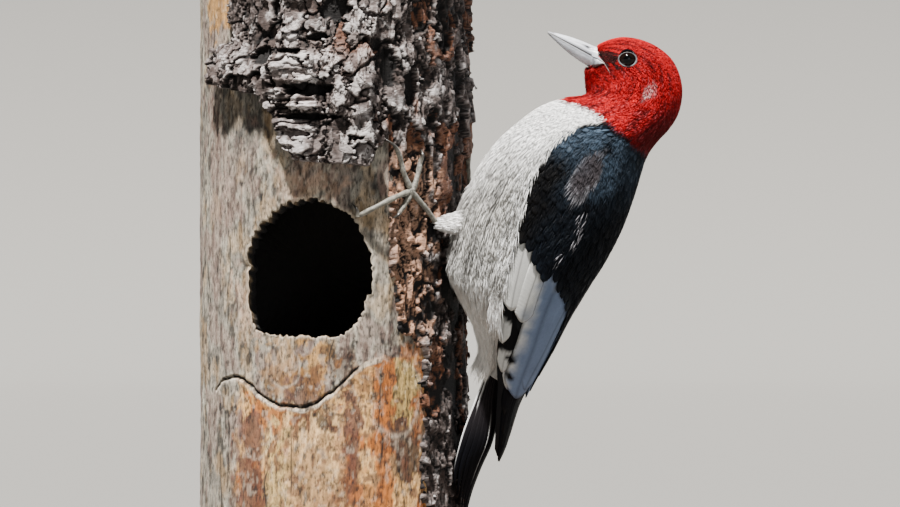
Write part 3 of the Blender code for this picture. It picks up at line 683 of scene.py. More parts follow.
# vanes: closed blades laid on a form, a little arched across. s runs from root to tip, c across from -1 to 1:
# a point is path(s) + side * half width * c + outward * height
def growVanes(form, root, tip, width, look, rng):
    n, steps, across = len(width), look["steps"], look["across"]
    ring = 2 * across - 2
    s = np.linspace(0, 1, steps)[None, :, None]
    top = np.linspace(-1, 1, across)
    c = np.concatenate([top, top[-2:0:-1]])[None, None, :]
    below = (np.arange(ring) >= across)[None, None, :]
    fray = 1 + look["fray"] * rng.normal(0, 1, (n, 1, ring)) * s ** 3
    fray = fray - look.get("round", 0.0) * c ** 2 * s ** 3
    share = np.concatenate([s * fray, np.ones((n, 1, ring))], axis=1)
    a0, b0, a1, b1 = (v[:, None, None] for v in (*root, *tip))
    pathA, pathB = a0 + (a1 - a0) * share, b0 + (b1 - b0) * share
    stretchA, stretchB = stretchOn(form, pathA, pathB)
    turn = np.arctan2((b1 - b0) * stretchB, (a1 - a0) * stretchA)
    half = width[:, None, None] / 2 * np.interp(share, *vaneOutlines[look["kind"]])
    half[:, -1] = 0
    offset = half * c
    pathA, pathB = pathA - np.sin(turn) * offset / stretchA, pathB + np.cos(turn) * offset / stretchB
    p, out = standOn(form, pathA, pathB)
    low, high = look["heights"]
    height = low + (high - low) * share ** 1.3 + look["arch"] * (1 - c ** 2) + look["tilt"] * c * share
    height = height + look.get("layer", np.zeros(n))[:, None, None] - below * look["thick"] * (1 - c ** 2)
    points = p + out * height[..., None]
    rings = points[:, :steps].reshape(n, steps * ring, 3)
    ends = [points[:, k].mean(axis=1)[:, None] for k in (0, -1)]
    verts = np.concatenate([rings, *ends], axis=1)

    def pack(values, first, last):
        values = np.broadcast_to(values, (n, steps, ring)).reshape(n, -1)
        return np.concatenate([values, np.full((n, 1), first), np.full((n, 1), last)], axis=1)

    base = (np.arange(n) * (steps * ring + 2))[:, None, None]
    faces = [(base + f[None]).reshape(-1, f.shape[-1]) for f in tubeFaces(steps, ring)]
    placeA, placeB = pack(pathA[:, :steps], 0, 0), pack(pathB[:, :steps], 0, 0)
    placeA[:, -2:], placeB[:, -2:] = np.stack([root[0], tip[0]], 1), np.stack([root[1], tip[1]], 1)
    reach = np.linalg.norm(form(*tip) - form(*root), axis=-1)[:, None]
    return verts, faces, pack(share[:, :steps], 0, 1), pack(c, 0, 0), placeA, placeB, reach


def vaneAtlas(share, across, columns, rows):  # every vane in its own cell of one map
    number = np.arange(len(share))[:, None]
    u = (number % columns + 0.5 + 0.42 * across) / columns
    v = (number // columns + 0.06 + 0.88 * share) / rows
    return abreast(u, v)


# root and tip: station and turn; look holds the shape, tone is a function of share, across and place
def vanePiece(name, form, root, tip, width, look, tone, finish, rng, nodes=()):
    root, tip = [np.asarray(v, dtype=float) for v in root], [np.asarray(v, dtype=float) for v in tip]
    width = width * np.ones(len(root[0]))
    verts, faces, share, across, a, b, reach = growVanes(form, root, tip, width, look, rng)
    columns = math.ceil(math.sqrt(len(width) * 2))
    uv = vaneAtlas(share, across, columns, math.ceil(len(width) / columns))
    makePiece(name, verts, faces, finish, nodes, tone(share, across, a, b), uv,
              {"lengthwise": share * reach, "across": across})
    print(name, "vanes", len(width))


wings = {
    # upper edge of the white: degrees, station
    "whiteTop": ([0, 3, 15, 28, 40, 48, 58, 69, 85, 95],
                 [18.2, 18.1, 17.6, 17.35, 17.2, 16.9, 17.0, 16.65, 16.1, 15.9]),
    "rowStep": 0.42, "phiStep": 7.6, "rows": 15, "covertLength": 1.25,
    # white secondaries: root station, degrees, tip station, degrees, width, layer, station where white starts
    "secondaries": [
        (17.0, 66, 20.62, 47, 7.5, -0.55, 19.9), (16.8, 72, 20.15, 62, 7.5, -0.40, 19.35),
        (16.2, 80, 19.22, 72, 7.5, -0.25, 18.42), (15.6, 84, 18.15, 70, 8.5, -0.05, 0),
        (15.8, 66, 18.35, 57, 9.0, 0.0, 0), (16.4, 14, 20.3, 14, 11.0, 0.02, 0),
        (16.2, 44, 20.72, 27, 17.0, 0.12, 0)],
    "notches": [(30.2, 115.8, 2.2, 2.0), (29.6, 108.4, 1.3, 1.7)],  # x, z, half width, half height
    # black primaries: root station, degrees, tip station, degrees
    "primaries": [(18.3, 20, 23.9, 12), (18.2, 24, 23.5, 21), (18.0, 30, 23.0, 28), (18.0, 36, 22.4, 33),
                  (18.0, 44, 21.6, 41), (18.0, 10, 22.8, 2), (18.0, 3, 21.9, -3)],
    "looks": {
        "coverts": {"steps": 11, "across": 7, "kind": "soft", "fray": 0.012, "round": 0.06,
                    "heights": (-1.25, -0.15), "arch": 0.28, "tilt": 0.22, "thick": 0.16},
        "secondaries": {"steps": 26, "across": 11, "kind": "round", "fray": 0.004, "round": 0.11,
                        "heights": (-1.5, -0.35), "arch": 0.3, "tilt": 0.15, "thick": 0.2},
        "primaries": {"steps": 24, "across": 9, "kind": "blade", "fray": 0.004, "round": 0.03,
                      "heights": (-1.9, -0.7), "arch": 0.25, "tilt": 0.1, "thick": 0.2},
    },
}


def blackTone(share, across, a, b):  # painted blue sheen on the shoulder, a parted patch with a pale rim on the left
    p = outerForm(a, b)
    wob = fractal(roughNoise, p / 6.0, 2)
    down, left = fromBack(b), isLeft(b)
    shoulder = smoothStep(15.6, 12.4, a + 0.02 * np.abs(down - 45))
    sheen = np.clip(0.7 + 0.7 * wob, 0, 1) * (0.08 + 0.9 * shoulder)
    rim = np.hypot((a - 13.35) / 0.95, (down - 64) / 10.0) + 0.35 * wob
    pale = 0.55 * np.exp(-((rim - 1.0) / 0.10) ** 2) * (0.3 + 0.7 * smoothStep(12.9, 13.9, a)) * left
    tone = paint(plumage["black"], (plumage["blue"], sheen),
                 (plumage["brownBlack"], smoothStep(70, 88, down + 8 * wob) * smoothStep(12.4, 13.6, a)),
                 (plumage["parted"], 0.75 * smoothStep(1.15, 0.75, rim) * left), (plumage["partedRim"], pale))
    edge = smoothStep(0.86, 1.0, share) + 0.6 * smoothStep(0.75, 1.0, np.abs(across))
    return tone * (0.85 + 0.25 * np.clip(edge, 0, 1))[..., None]


def whiteTone(starts):
    def tone(share, across, a, b):
        p = outerForm(a, b)
        wob = fractal(roughNoise, p / 5.0, 2)
        # the upper white feathers turn slate grey-blue: painted shade
        shadedWhite = blendTone(plumage["vaneShade"], plumage["vaneWhite"],
                          smoothStep(42, 60, fromBack(b) + 8 * wob))
        shadedWhite = shadedWhite * (0.9 + 0.15 * smoothStep(0.5, 1.0, np.abs(across)) + 0.06 * wob)[..., None]
        base = smoothStep(0.10, 0.0, a + 0.10 * wob - starts[:, None])
        for x, z, wide, tall in wings["notches"]:  # dark gaps between the inner feathers
            dx, dz = p[..., 0] - x, p[..., 2] - z
            gap = np.maximum(np.abs(dx + 0.5 * dz) / wide, np.abs(dz) / tall)
            base = np.maximum(base, smoothStep(1.15, 0.85, gap + 0.15 * wob) * isLeft(b))
        return paint(shadedWhite, (plumage["black"], smoothStep(0.10, 0.03, np.abs(across)) * 0.35),
                     (plumage["black"] * 0.5, base))
    return tone


def primaryTone(share, across, a, b):
    tone = blendTone(plumage["black"], plumage["brownBlack"] * 1.6, smoothStep(0.9, 1.0, share))
    return tone * (1 + 1.2 * smoothStep(0.88, 1.0, across))[..., None]


def buildWingSheet(side, mirror, rows=70, cols=26):  # thin closed sheet of flesh under a wing's feathers
    t = np.linspace(11.25, 23.6, rows)[:, None]
    back, front = np.interp(t, *bodyForm["wingBack"]), np.interp(t, *bodyForm["wingFront"])
    c = np.linspace(0, 1, cols)
    front = front - 2 - 14 * smoothStep(19.0, 21.5, t)  # the hand narrows under the primaries
    down = back + (front - back) * np.concatenate([c, c[::-1]])
    phi = np.radians(down) * mirror
    p, out = standOn(outerForm, t, phi)
    p = p - out * np.repeat([1.35, 2.3], cols)[:, None]
    uv = np.vstack([skinPlace(t, phi).reshape(-1, 2), [[0.4, 0.5], [0.9, 0.5]]])
    makePiece(f"wing_{side}", withEnds(p), tubeFaces(rows, 2 * cols, side == "right"), softBlack,
              [f"wing_coverts_{side}"],
              np.tile(plumage["black"] * 0.8, (rows * 2 * cols + 2, 1)), uv)


def buildWing(side):
    mirror = 1.0 if side == "left" else -1.0
    rng = np.random.default_rng(51 if side == "left" else 52)
    buildWingSheet(side, mirror)

    def feathers(kind, rootT, rootDown, tipT, tipDown, width, tone, finish, slotName, **more):
        look = {**wings["looks"][kind], **more}
        look["tilt"] *= mirror
        vanePiece(f"{kind}_{side}", outerForm, (rootT, mirror * np.radians(rootDown)),
                  (tipT, mirror * np.radians(tipDown)), width, look, tone, finish, rng,
                  [f"wing_{kind}_{side}"])

    # coverts and mantle: staggered rows whose tips end on the upper edge of the white
    tipT, tipDown = [], []
    for row in range(wings["rows"]):
        down = (np.arange(14) + 0.5 * (row % 2)) * wings["phiStep"] + rng.normal(0, 0.8, 14)
        tipT.append(np.interp(down, *wings["whiteTop"]) - wings["rowStep"] * row + rng.normal(0, 0.05, 14))
        tipDown.append(down)
    tipT, tipDown = np.concatenate(tipT), np.concatenate(tipDown)
    keep = tipT > np.interp(tipDown, *bodyForm["hoodEdge"]) + 0.15
    keep &= tipDown < np.interp(tipT, *bodyForm["wingFront"]) - 1
    tipT, tipDown = tipT[keep], tipDown[keep]
    wide = stretchOn(outerForm, tipT, np.radians(tipDown))[1]
    width = 1.55 * np.radians(wings["phiStep"]) * wide * rng.uniform(0.9, 1.1, len(tipT))
    feathers("coverts", np.maximum(tipT - wings["covertLength"], 10.9), tipDown + 3.0 * tipDown / 90,
             tipT, tipDown, width, blackTone, vaneBlack, "black_feathers")

    rootT, rootDown, tipT, tipDown, width, layer, starts = np.array(wings["secondaries"]).T
    if side == "right":
        rootDown = rootDown + 7 * (rootDown < 20)
    feathers("secondaries", rootT, rootDown, tipT, tipDown, width, whiteTone(starts), vaneWhite,
             "white_feathers", layer=layer)

    rootT, rootDown, tipT, tipDown = np.array(wings["primaries"]).T
    if side == "right":
        rootDown, tipDown = rootDown * 0.7, tipDown * 0.7
    feathers("primaries", rootT, rootDown, tipT, tipDown, 7.0, primaryTone, vaneBlack, "black_feathers",
             layer=-0.08 * np.arange(len(rootT)))


def buildBackStrip():  # narrow black feathers along the ridge, between the white of both wings
    rng = np.random.default_rng(55)
    root = (np.array([16.6, 17.4, 18.2]), np.radians([-3.0, -5.0, -6.0]))
    tip = (np.array([18.9, 19.7, 20.3]), np.radians([-5.0, -8.0, -10.0]))
    look = {"steps": 16, "across": 7, "kind": "blade", "fray": 0.004, "heights": (-0.3, 0.05), "arch": 0.3,
            "tilt": 0.0, "thick": 0.2, "layer": np.array([0.1, 0.0, -0.1])}
    vanePiece("ridge_feathers", outerForm, root, tip, np.array([4.5, 4.5, 4.0]), look, primaryTone, vaneBlack,
              rng)


# disturbed feathers show their pale bases in two small drifts
def fringeTone(t, phi, p, rng):
    n = len(t)
    tone = blackTone(0.5 + 0 * t, 0 * t, t, phi) * (1 + 0.12 * rng.normal(0, 1, n))[:, None]
    down = fromBack(phi)
    drift = np.hypot((t - 15.1) / 0.7, (down - 49 + 6 * (t - 15.1)) / 4.0)
    small = np.hypot((t - 16.2) / 0.25, (down - 51) / 3.0)
    pale = (np.minimum(drift, small) < 1.0) & (rng.random(n) < 0.34) & isLeft(phi)
    return np.where(pale[:, None], plumage["partedRim"] * rng.uniform(0.35, 1.0, n)[:, None], tone)


def buildWingFringe():  # loose barbs over the black feathers
    rng = np.random.default_rng(61)

    def density(t, phi):
        down = fromBack(phi)
        below = t > np.interp(down, *bodyForm["hoodEdge"]) + 0.1
        above = t < np.interp(down, *wings["whiteTop"]) - 0.4
        return (below & above & (down < np.interp(t, *bodyForm["wingFront"]) - 3)) * 1.0

    roots = scatter(outerForm, (11.2, 18.0), (-np.pi * 0.56, np.pi * 0.56), 6800, density, rng)
    look = {
        "length": lambda t, phi, p: np.interp(t, [11, 14, 18], [3.2, 4.2, 4.6]),
        "width": lambda t, phi, p: 0.32,
        "stand": lambda t, phi, p: 0.12 + 0.1 * roughNoise(p / 4.0),
        "yaw": lambda t, phi, p: 0.3 * roughNoise(p / 4.0), "spread": 0.12, "depth": 0.35, "tone": fringeTone,
    }
    coatPieces("coat_back", outerForm, roots, look, softBlack, 62)


tail = {  # stiff feathers on a roof-shaped fan
    # rows down the tail: x, z, middle y, half width, fall of the eaves
    "rows": np.array([(26.4, 112.0, -27.0, 5.6, 2.4), (25.2, 100.6, -26.0, 8.6, 6.0),
                      (24.8, 90.0, -25.0, 12.0, 11.0), (22.6, 80.0, -24.0, 13.6, 11.5),
                      (17.8, 69.5, -22.4, 13.6, 7.6), (13.6, 58.5, -20.6, 11.4, 3.4),
                      (11.2, 48.4, -19.4, 7.0, 0.8)]),
    "yaw": 21.0, "step": 0.30, "feathers": 12,
}


def tailForm(a, b):
    a, b = np.broadcast_arrays(a, b)
    x, z, mid, wide, fall = np.moveaxis(along(tail["rows"], a), -1, 0)
    turn = math.radians(tail["yaw"])
    drop, side = fall * np.abs(b) ** 1.6, -b * wide
    return abreast(x - drop * math.cos(turn) + side * math.sin(turn),
                   mid + drop * math.sin(turn) + side * math.cos(turn), z)


def tailTone(share, across, a, b):  # black, greyer above, with pale edges fading downward
    outer = np.abs(b)
    edge = smoothStep(0.76, 0.88, outer) * smoothStep(0.80, 0.92, across * np.sign(b))
    edge = edge * smoothStep(4.2, 2.6, a)
    ridge = smoothStep(0.35, 0.2, outer) * smoothStep(0.80, 0.95, np.abs(across)) * smoothStep(4.8, 4.0, a)
    return paint(plumage["black"],
                 (plumage["parted"] * 0.45, np.clip(0.55 * smoothStep(3.4, 1.0, a) + 0.03, 0, 1)),
                 (plumage["white"], np.clip(0.9 * edge + 0.8 * ridge, 0, 0.9)))


def buildTail():
    n = tail["feathers"]
    b = np.linspace(-0.82, 0.82, n)
    reach = 1 - tail["step"] * np.abs(b / 0.86) ** 1.4
    look = {"steps": 30, "across": 9, "kind": "stiff", "fray": 0.006, "heights": (-0.8, -0.5), "arch": 0.35,
            "tilt": 0.0, "thick": 0.4, "layer": 0.1 - 0.28 * np.abs(np.arange(n) - (n - 1) / 2)}
    vanePiece("tail_feathers", tailForm, (np.full(n, 0.1), b * 0.8), (1.05 + 5 * reach, b * 1.05), 6.6, look,
              tailTone, vaneBlack, np.random.default_rng(71), ["tail"])


# Horn of the bill: dense keratin with fine lengthwise growth lines, worn smooth and faintly waxy
billHorn = grainFinish("bill horn, worn keratin", {"Roughness": 0.36, "IOR": 1.54, "Coat Weight": 0.15,
                                                   "Coat Roughness": 0.3},
                       "Noise", {"Scale": 1.0, "Detail": 4.0}, [(0.3, 0.72), (0.7, 1.0)], (0.25, 0.0002),
                       {"Rotation": (0, 0.32, 0), "Scale": (120, 1500, 1800)})  # lines of 0.6 mm, 8 mm long

# Bare eye ring: thin leathery skin with tiny rounded folds
ringSkin = grainFinish("bare eye ring, finely folded skin", {"Roughness": 0.5, "IOR": 1.45}, "Voronoi",
                       {"Scale": 2600.0}, [(0.0, 1.0), (0.7, 0.6)], (-0.4, 0.0001))

# Leg skin: small horny scales of 0.6 mm with dry edges, soft creases between them
legSkin = grainFinish("leg skin, dry scales", {"Roughness": 0.55, "IOR": 1.5, "Sheen Weight": 0.1}, "Voronoi",
                      {"Scale": 1700.0}, [(0.0, 0.45), (0.12, 1.0)], (0.5, 0.00015),
                      settings={"feature": "DISTANCE_TO_EDGE"})

# Claws: hard horn, darker and more polished towards the point
clawHorn = grainFinish("claw horn, polished by bark", {"Roughness": 0.28, "IOR": 1.54}, "Noise",
                       {"Scale": 1800.0}, [(0.3, 0.8), (0.7, 1.0)])


# Eyeball: a wet clear cornea over a dark brown iris, so one sharp highlight
def eyeFinish():
    finish, tree, main = newFinish("wet eye, clear cornea",
                                   **{"Roughness": 0.03, "IOR": 1.36, "Specular IOR Level": 0.25})
    tone = addNode(tree, "ShaderNodeAttribute", {"attribute_name": "tone"})
    tree.links.new(tone.outputs["Color"], main.inputs["Base Color"])
    return finish


bill = {
    "tip": (45.6, 253.7), "rootX": 69.6, "solidRootX": 65.0,
    "culmen": 247.5, "commissure": 242.7, "gonys": 237.6, "halfWidth": 4.7, "tipHalf": 0.7, "gap": 0.16,
    "tones": palette(light="#C8CBD1", grey="#8C9098", dark="#3A3C42", gape="#D8CBC6", bristle="#2C0605"),
}


# half-moon sections round the commissure: y = w cos(angle), z = flat + (edge - flat) sin(angle)^0.8
def buildBill():
    rootX, c = bill["solidRootX"], bill["tones"]
    tipX, tipZ = bill["tip"]
    s = np.linspace((rootX - bill["rootX"]) / (rootX - tipX), 1, 72)[:, None]
    angle = np.linspace(0, np.pi, 33)[None, :]
    floorAngle = np.linspace(np.pi, 0, 12)[None, 1:-1]
    x = rootX + (tipX - rootX) * s
    swell = np.sin(np.pi * np.clip(s, 0, 1))
    commissure = bill["commissure"] + (tipZ - 0.4 - bill["commissure"]) * s
    culmen = bill["culmen"] + (tipZ - bill["culmen"]) * s + 0.7 * swell
    gonys = bill["gonys"] + (tipZ - 1.0 - bill["gonys"]) * s - 1.4 * swell
    width = bill["tipHalf"] + (bill["halfWidth"] - bill["tipHalf"]) * np.abs(1 - s) ** 0.9
    width = width + 6.5 * np.clip(-s, 0, 1)
    for name, edge, sign in (("bill_upper", culmen, 1), ("bill_lower", gonys, -1)):
        upper = sign > 0
        flat = commissure + sign * bill["gap"]
        z = flat + (edge - flat) * np.sin(angle) ** 0.8
        rise = np.abs(np.sin(angle))
        # a groove runs from the nostril towards the tip
        groove = np.exp(-((rise - 0.62 + 0.3 * s) / 0.10) ** 2) * smoothStep(0.75, 0.2, s) * upper
        slot = np.exp(-((s - 0.13) / 0.07) ** 2 - ((rise - 0.5) / 0.12) ** 2) * upper
        y = eyes["headY"] - width * np.cos(angle) + np.sign(np.cos(angle)) * (0.35 * groove + 0.9 * slot)
        top = abreast(x, y, z)
        low = abreast(x, eyes["headY"] - width * np.cos(floorAngle), flat)
        share = np.broadcast_to(s, z.shape)
        # light: painted light along the top of the upper mandible
        light = rise * (0.7 if upper else 0.2) + 0.35 + 0.15 * fineNoise(top / 2.0)
        tone = paint(c["grey"], (c["light"], np.clip(light, 0, 1)),
                     (c["dark"], 0.85 * smoothStep(0.80, 1.0, share + 0.1 * fineNoise(top / 1.2))),
                     (c["dark"], 0.9 * slot + 0.25 * groove),
                     (c["dark"], 0.8 * smoothStep(0.16, 0.04, rise) * (share > -0.25)),
                     # painted shade along the lower mandible's underside
                     (c["dark"], (0 if upper else 0.35) * smoothStep(0.5, 1.0, rise)),
                     (c["gape"], 0.7 * smoothStep(0.0, -0.08, share)))
        rings = np.concatenate([top, low], axis=1)
        tones = np.concatenate([tone, np.broadcast_to(c["dark"] * 0.3, low.shape)], axis=1).reshape(-1, 3)
        makePiece(name, withEnds(rings), tubeFaces(*rings.shape[:2], not upper), billHorn,
                  [name], np.vstack([tones, c["grey"], c["dark"]]))


def surfaceAt(form, x, z, t, phi):  # Newton steps to the point of a form seen from the side at x, z
    for _ in range(7):
        p, alongA, alongB, _, stretchA, stretchB = frameOn(form, t, phi)
        ax, az = alongA[..., 0] * stretchA, alongA[..., 2] * stretchA
        bx, bz = alongB[..., 0] * stretchB, alongB[..., 2] * stretchB
        dx, dz, det = x - p[..., 0], z - p[..., 2], ax * bz - az * bx
        t, phi = t + (dx * bz - dz * bx) / det, phi + (ax * dz - az * dx) / det
    return form(t, phi)


def cheekOut(x, z, t, degrees):  # how far the cheek lies from the head's middle, seen from the side at x, z
    start = np.full(x.shape, float(t)), np.full(x.shape, np.radians(degrees))
    return eyes["headY"] - surfaceAt(outerForm, x, z, *start)[..., 1]


# the eye ring's profile: distance from the middle, height over ball or cheek, share of the ball in that
eyeRing = {
    "radius": np.array([3.34, 3.46, 3.58, 3.70, 3.84, 4.02, 4.5, 5.2, 5.2, 4.2, 3.34]),
    "rim": np.array([0.05, 0.20, 0.30, 0.28, 0.18, 0.0, -0.45, -1.0, -2.0, -2.2, -1.2]),
    "onBall": np.array([1.0, 1.0, 0.8, 0.5, 0.25, 0.1, 0, 0, 0, 0.5, 1.0]),
    "around": 72,
    "tones": palette(edge="#4E5054", bead="#65686C", outside="#3A0605"),
}


def buildEye(side, mirror, glass):
    cx, cz = eyes["centre"]
    tilt = np.linspace(0.02, np.pi - 0.02, 40)[:, None]
    turn = fullTurn(48)[None, :]
    r = eyes["radius"]
    cornea = 0.55 * np.exp(-(tilt / 0.5) ** 2)
    y = eyes["headY"] + mirror * (eyes["out"] + (r + cornea) * np.cos(tilt))
    ball = abreast(cx + r * np.sin(tilt) * np.cos(turn), y, cz + r * np.sin(tilt) * np.sin(turn))
    iris = smoothStep(0.36, 0.42, tilt) * smoothStep(0.95, 0.8, tilt) + 0 * turn
    tone = blendTone(linear("#030304"), linear("#100806"), iris)
    makePiece(f"eyeball_{side}", withEnds(ball), tubeFaces(40, 48, side == "left"), glass,
              [f"eye_{side}"], withEnds(tone))


# lip on the ball, a rounded beaded rim, then down among the feathers
def buildEyeRing(side, mirror):
    cx, cz = eyes["centre"]
    rows, cols = len(eyeRing["radius"]), eyeRing["around"]
    radius, rim, onBall = (eyeRing[key][:, None] for key in ("radius", "rim", "onBall"))
    turn = fullTurn(cols)[None, :]
    wave = 1 + 0.012 * np.sin(turn * 17) * (np.arange(rows)[:, None] > 1)
    rx, rz = radius * wave * np.cos(turn) * 1.03, radius * wave * np.sin(turn) * 0.82
    flat = -cheekOut(cx + rx, cz + rz, 4.5, 74.5)
    ballY = -(eyes["out"] + np.sqrt(np.maximum(eyes["radius"] ** 2 - rx ** 2 - rz ** 2, 4.0)))
    y = ballY * onBall + flat * (1 - onBall) - rim
    points = abreast(cx + rx, eyes["headY"] - mirror * y, cz + rz)
    # beads: the beaded rim, darker towards the top as painted shade under the brow
    beads = smoothStep(3.35, 3.55, radius) * (0.85 + 0.15 * np.cos(turn * 34)) * (0.75 - 0.25 * np.sin(turn))
    c = eyeRing["tones"]
    # outside: dark red where the ring sinks among the feathers, painted shade round the eye
    tone = paint(c["edge"], (c["bead"], beads), (c["outside"], smoothStep(3.78, 3.95, radius)))
    at = np.arange(cols)
    last = (rows - 1) * cols
    closing = abreast(last + at, last + (at + 1) % cols, (at + 1) % cols, at)
    faces = [gridFaces(rows, cols, wrap=True), closing]
    if side == "left":
        faces = [f[:, ::-1] for f in faces]
    makePiece(f"eye_ring_{side}", points, faces, ringSkin, (), tone)


# corner of the mouth: the horn runs back over the cheek in a point, both halves meeting in a dark line
def buildGape(side, mirror):
    c = bill["tones"]
    share = np.linspace(0, 1, 30)[:, None]
    over = np.linspace(-1, 1, 61)[None, :]
    startX, startZ = 63.9 + 0.5 * over, 243.2 + np.where(over > 0, 2.1, 5.4) * over
    x, z = startX + (69.4 - startX) * share, startZ + (240.0 - startZ) * share
    cheek = cheekOut(np.maximum(x, 62.6 + 0.6 * (z - 237.9)), z, 1.6, 86.0)
    ease = smoothStep(-0.02, 0.28, share)
    half = (1 - ease) * 4.4 * np.sqrt(1 - (0.85 * over) ** 2) + ease * (np.clip(cheek, 4, 11) + 0.3)
    half = half - 0.3 * np.exp(-(over * (1 - 0.8 * share) / 0.07) ** 2)
    top, under = (abreast(x, eyes["headY"] + mirror * (half - depth), z) for depth in (0, 2.2))
    ragged = over + 0.15 * fineNoise(top / 0.7)
    tone = paint(c["light"], (c["grey"], np.clip(0.5 + fineNoise(top / 1.5), 0, 1)),
                 (c["gape"], 0.8 * smoothStep(0.6, 0.85, share)),
                 (c["dark"] * 0.4, smoothStep(0.11, 0.04, np.abs(over) * (1 - 0.8 * share))),
                 (c["dark"], 0.7 * smoothStep(-0.3, -0.5, ragged)),
                 (c["bristle"], smoothStep(-0.62, -0.8, ragged)))
    rings = np.concatenate([top, under[:, ::-1]], axis=1)
    tones = np.concatenate([tone, tone[:, ::-1] * 0.4], axis=1)
    makePiece(f"gape_{side}", withEnds(rings), tubeFaces(*rings.shape[:2], side == "left"), billHorn,
              (), withEnds(tones))


# skin fold running on from the corner of the mouth down the cheek
def buildGapeLine(side, mirror):
    s = np.linspace(0, 1, 24)
    x, z = 68.9 + 2.6 * s, 240.2 - 4.3 * s ** 1.2
    path = abreast(x, eyes["headY"] + mirror * (cheekOut(x, z, 3.0, 95.0) + 0.12), z)
    verts = tubeAlong(path, 0.11 - 0.06 * s, np.array([0.0, mirror, 0.0]), cols=8)
    makePiece(f"gape_fold_{side}", verts, tubeFaces(24, 8), ringSkin, (),
              np.broadcast_to(bill["tones"]["gape"] * 0.5, verts.shape))


def buildHead():
    sides = ("left", -1.0), ("right", 1.0)
    buildBill()
    for side, mirror in sides:
        buildGape(side, mirror)
    glass = eyeFinish()
    for side, mirror in sides:
        buildEye(side, mirror, glass)
        buildEyeRing(side, mirror)
        buildGapeLine(side, mirror)
    print("bill and eyes built")


trunk = {
    "x": -46.0, "wood": 55.5, "foot": 40.0, "top": 272.0,
    "hole": (-54.2, 154.2), "holeHalf": (25.8, 28.6), "holeBack": 8.0,
    "barkEdge": ([-62, -58, -28, -22, 16, 24, 250, 258], [300, 224, 224, 198, 198, 0, 0, 300]),
    "barkThin": 1.2, "barkThick": 2.4, "barkSlab": 4.2,
}


def roundTrunk(degrees):  # one full turn from -100 on
    degrees = (np.asarray(degrees, dtype=float) + 180) % 360 - 180
    return np.where(degrees < -100, degrees + 360, degrees)


def solidRadius(degrees, height):  # the solid trunk's radius, the bark being plain steps
    degrees = roundTrunk(degrees)
    edge = np.interp(degrees, *trunk["barkEdge"])
    bark = smoothStep(edge - 3, edge + 3, height)
    right = smoothStep(24, 40, degrees)
    thinner = right * smoothStep(214, 196, height)
    thick = trunk["barkThick"] + (trunk["barkThin"] - trunk["barkThick"]) * thinner
    hanging = smoothStep(-34, -24, degrees) * smoothStep(34, 24, degrees)
    thick = thick + (trunk["barkSlab"] - trunk["barkThick"]) * hanging * smoothStep(252, 236, height)
    return trunk["wood"] + bark * thick


def trunkPoint(degrees, height, radius):
    angle = np.radians(degrees)
    degrees, height, radius = np.broadcast_arrays(degrees, height, radius)
    return abreast(trunk["x"] + radius * np.sin(angle), -radius * np.cos(angle), height)


def curve(points, count):  # smooth path through points
    points = np.asarray(points, dtype=float)
    return along(points, np.linspace(0, len(points) - 1, count))


# rings square to the path: centre + r (cos(turn) across + sin(turn) up), up staying near the given direction
def tubeAlong(path, radii, up, cols=20, squash=1.0):
    way = unit(np.gradient(path, axis=0))
    across = unit(np.cross(up, way))
    top = np.cross(way, across)
    turn = fullTurn(cols)[None, :]
    r = radii if radii.ndim == 2 else radii[:, None] + 0 * turn
    rings = (path[:, None] + (r * np.cos(turn))[..., None] * across[:, None]
             + (r * squash * np.sin(turn))[..., None] * top[:, None])
    ends = path[0] - way[0] * radii.ravel()[0] * 0.3, path[-1] + way[-1] * 0.1
    return np.vstack([rings.reshape(-1, 3), *ends])


def scuteRadii(base, length, turn):  # overlapping scales: each swells towards its lower edge
    s = np.linspace(0, length, len(base))[:, None]
    front = smoothStep(-0.2, 0.5, np.sin(turn))
    step = (s / 1.15) % 1.0
    pads = 0.10 * np.sin(2 * np.pi * s / 2.4) * smoothStep(0.2, 0.8, -np.sin(turn))
    return base[:, None] * (1 + 0.11 * (step ** 2 - 0.35) * front + pads)


legTones = palette(scale="#726F65", crease="#35332D", pale="#928F84", claw="#2E2B27", clawBase="#78746A")


# a scaly tube along a path; base is its plain radius, lift and pale make the toes a little lighter
def scalyTube(name, node, path, base, length, outward, grain, lift, pale):
    turn = fullTurn(20)[None, :]
    verts = tubeAlong(path, scuteRadii(base, length, turn), outward)
    wave = 0.5 + 0.5 * fractal(fineNoise, verts / grain, 2)
    tone = paint(legTones["crease"], (legTones["scale"], np.clip(wave + lift, 0, 1)),
                 (legTones["pale"], pale * smoothStep(0.4, 0.9, wave)))
    makePiece(name, verts, tubeFaces(len(path), 20), legSkin, [node], tone)


def buildClaw(side, number, start, end, outward):
    path = curve([start, start * 0.5 + end * 0.5 + outward * 1.5, end], 30)
    s = np.linspace(0, 1, 30)
    verts = tubeAlong(path, 0.95 * (1 - s) ** 0.75 + 0.06, outward, squash=1.25)
    tone = blendTone(legTones["clawBase"], legTones["claw"], np.repeat(smoothStep(0.0, 0.45, s), 20))
    makePiece(f"claw_{side}_{number}_horn", verts, tubeFaces(30, 20), clawHorn,
              [f"claw_{side}_{number}"], np.vstack([tone, legTones["clawBase"], legTones["claw"]]))


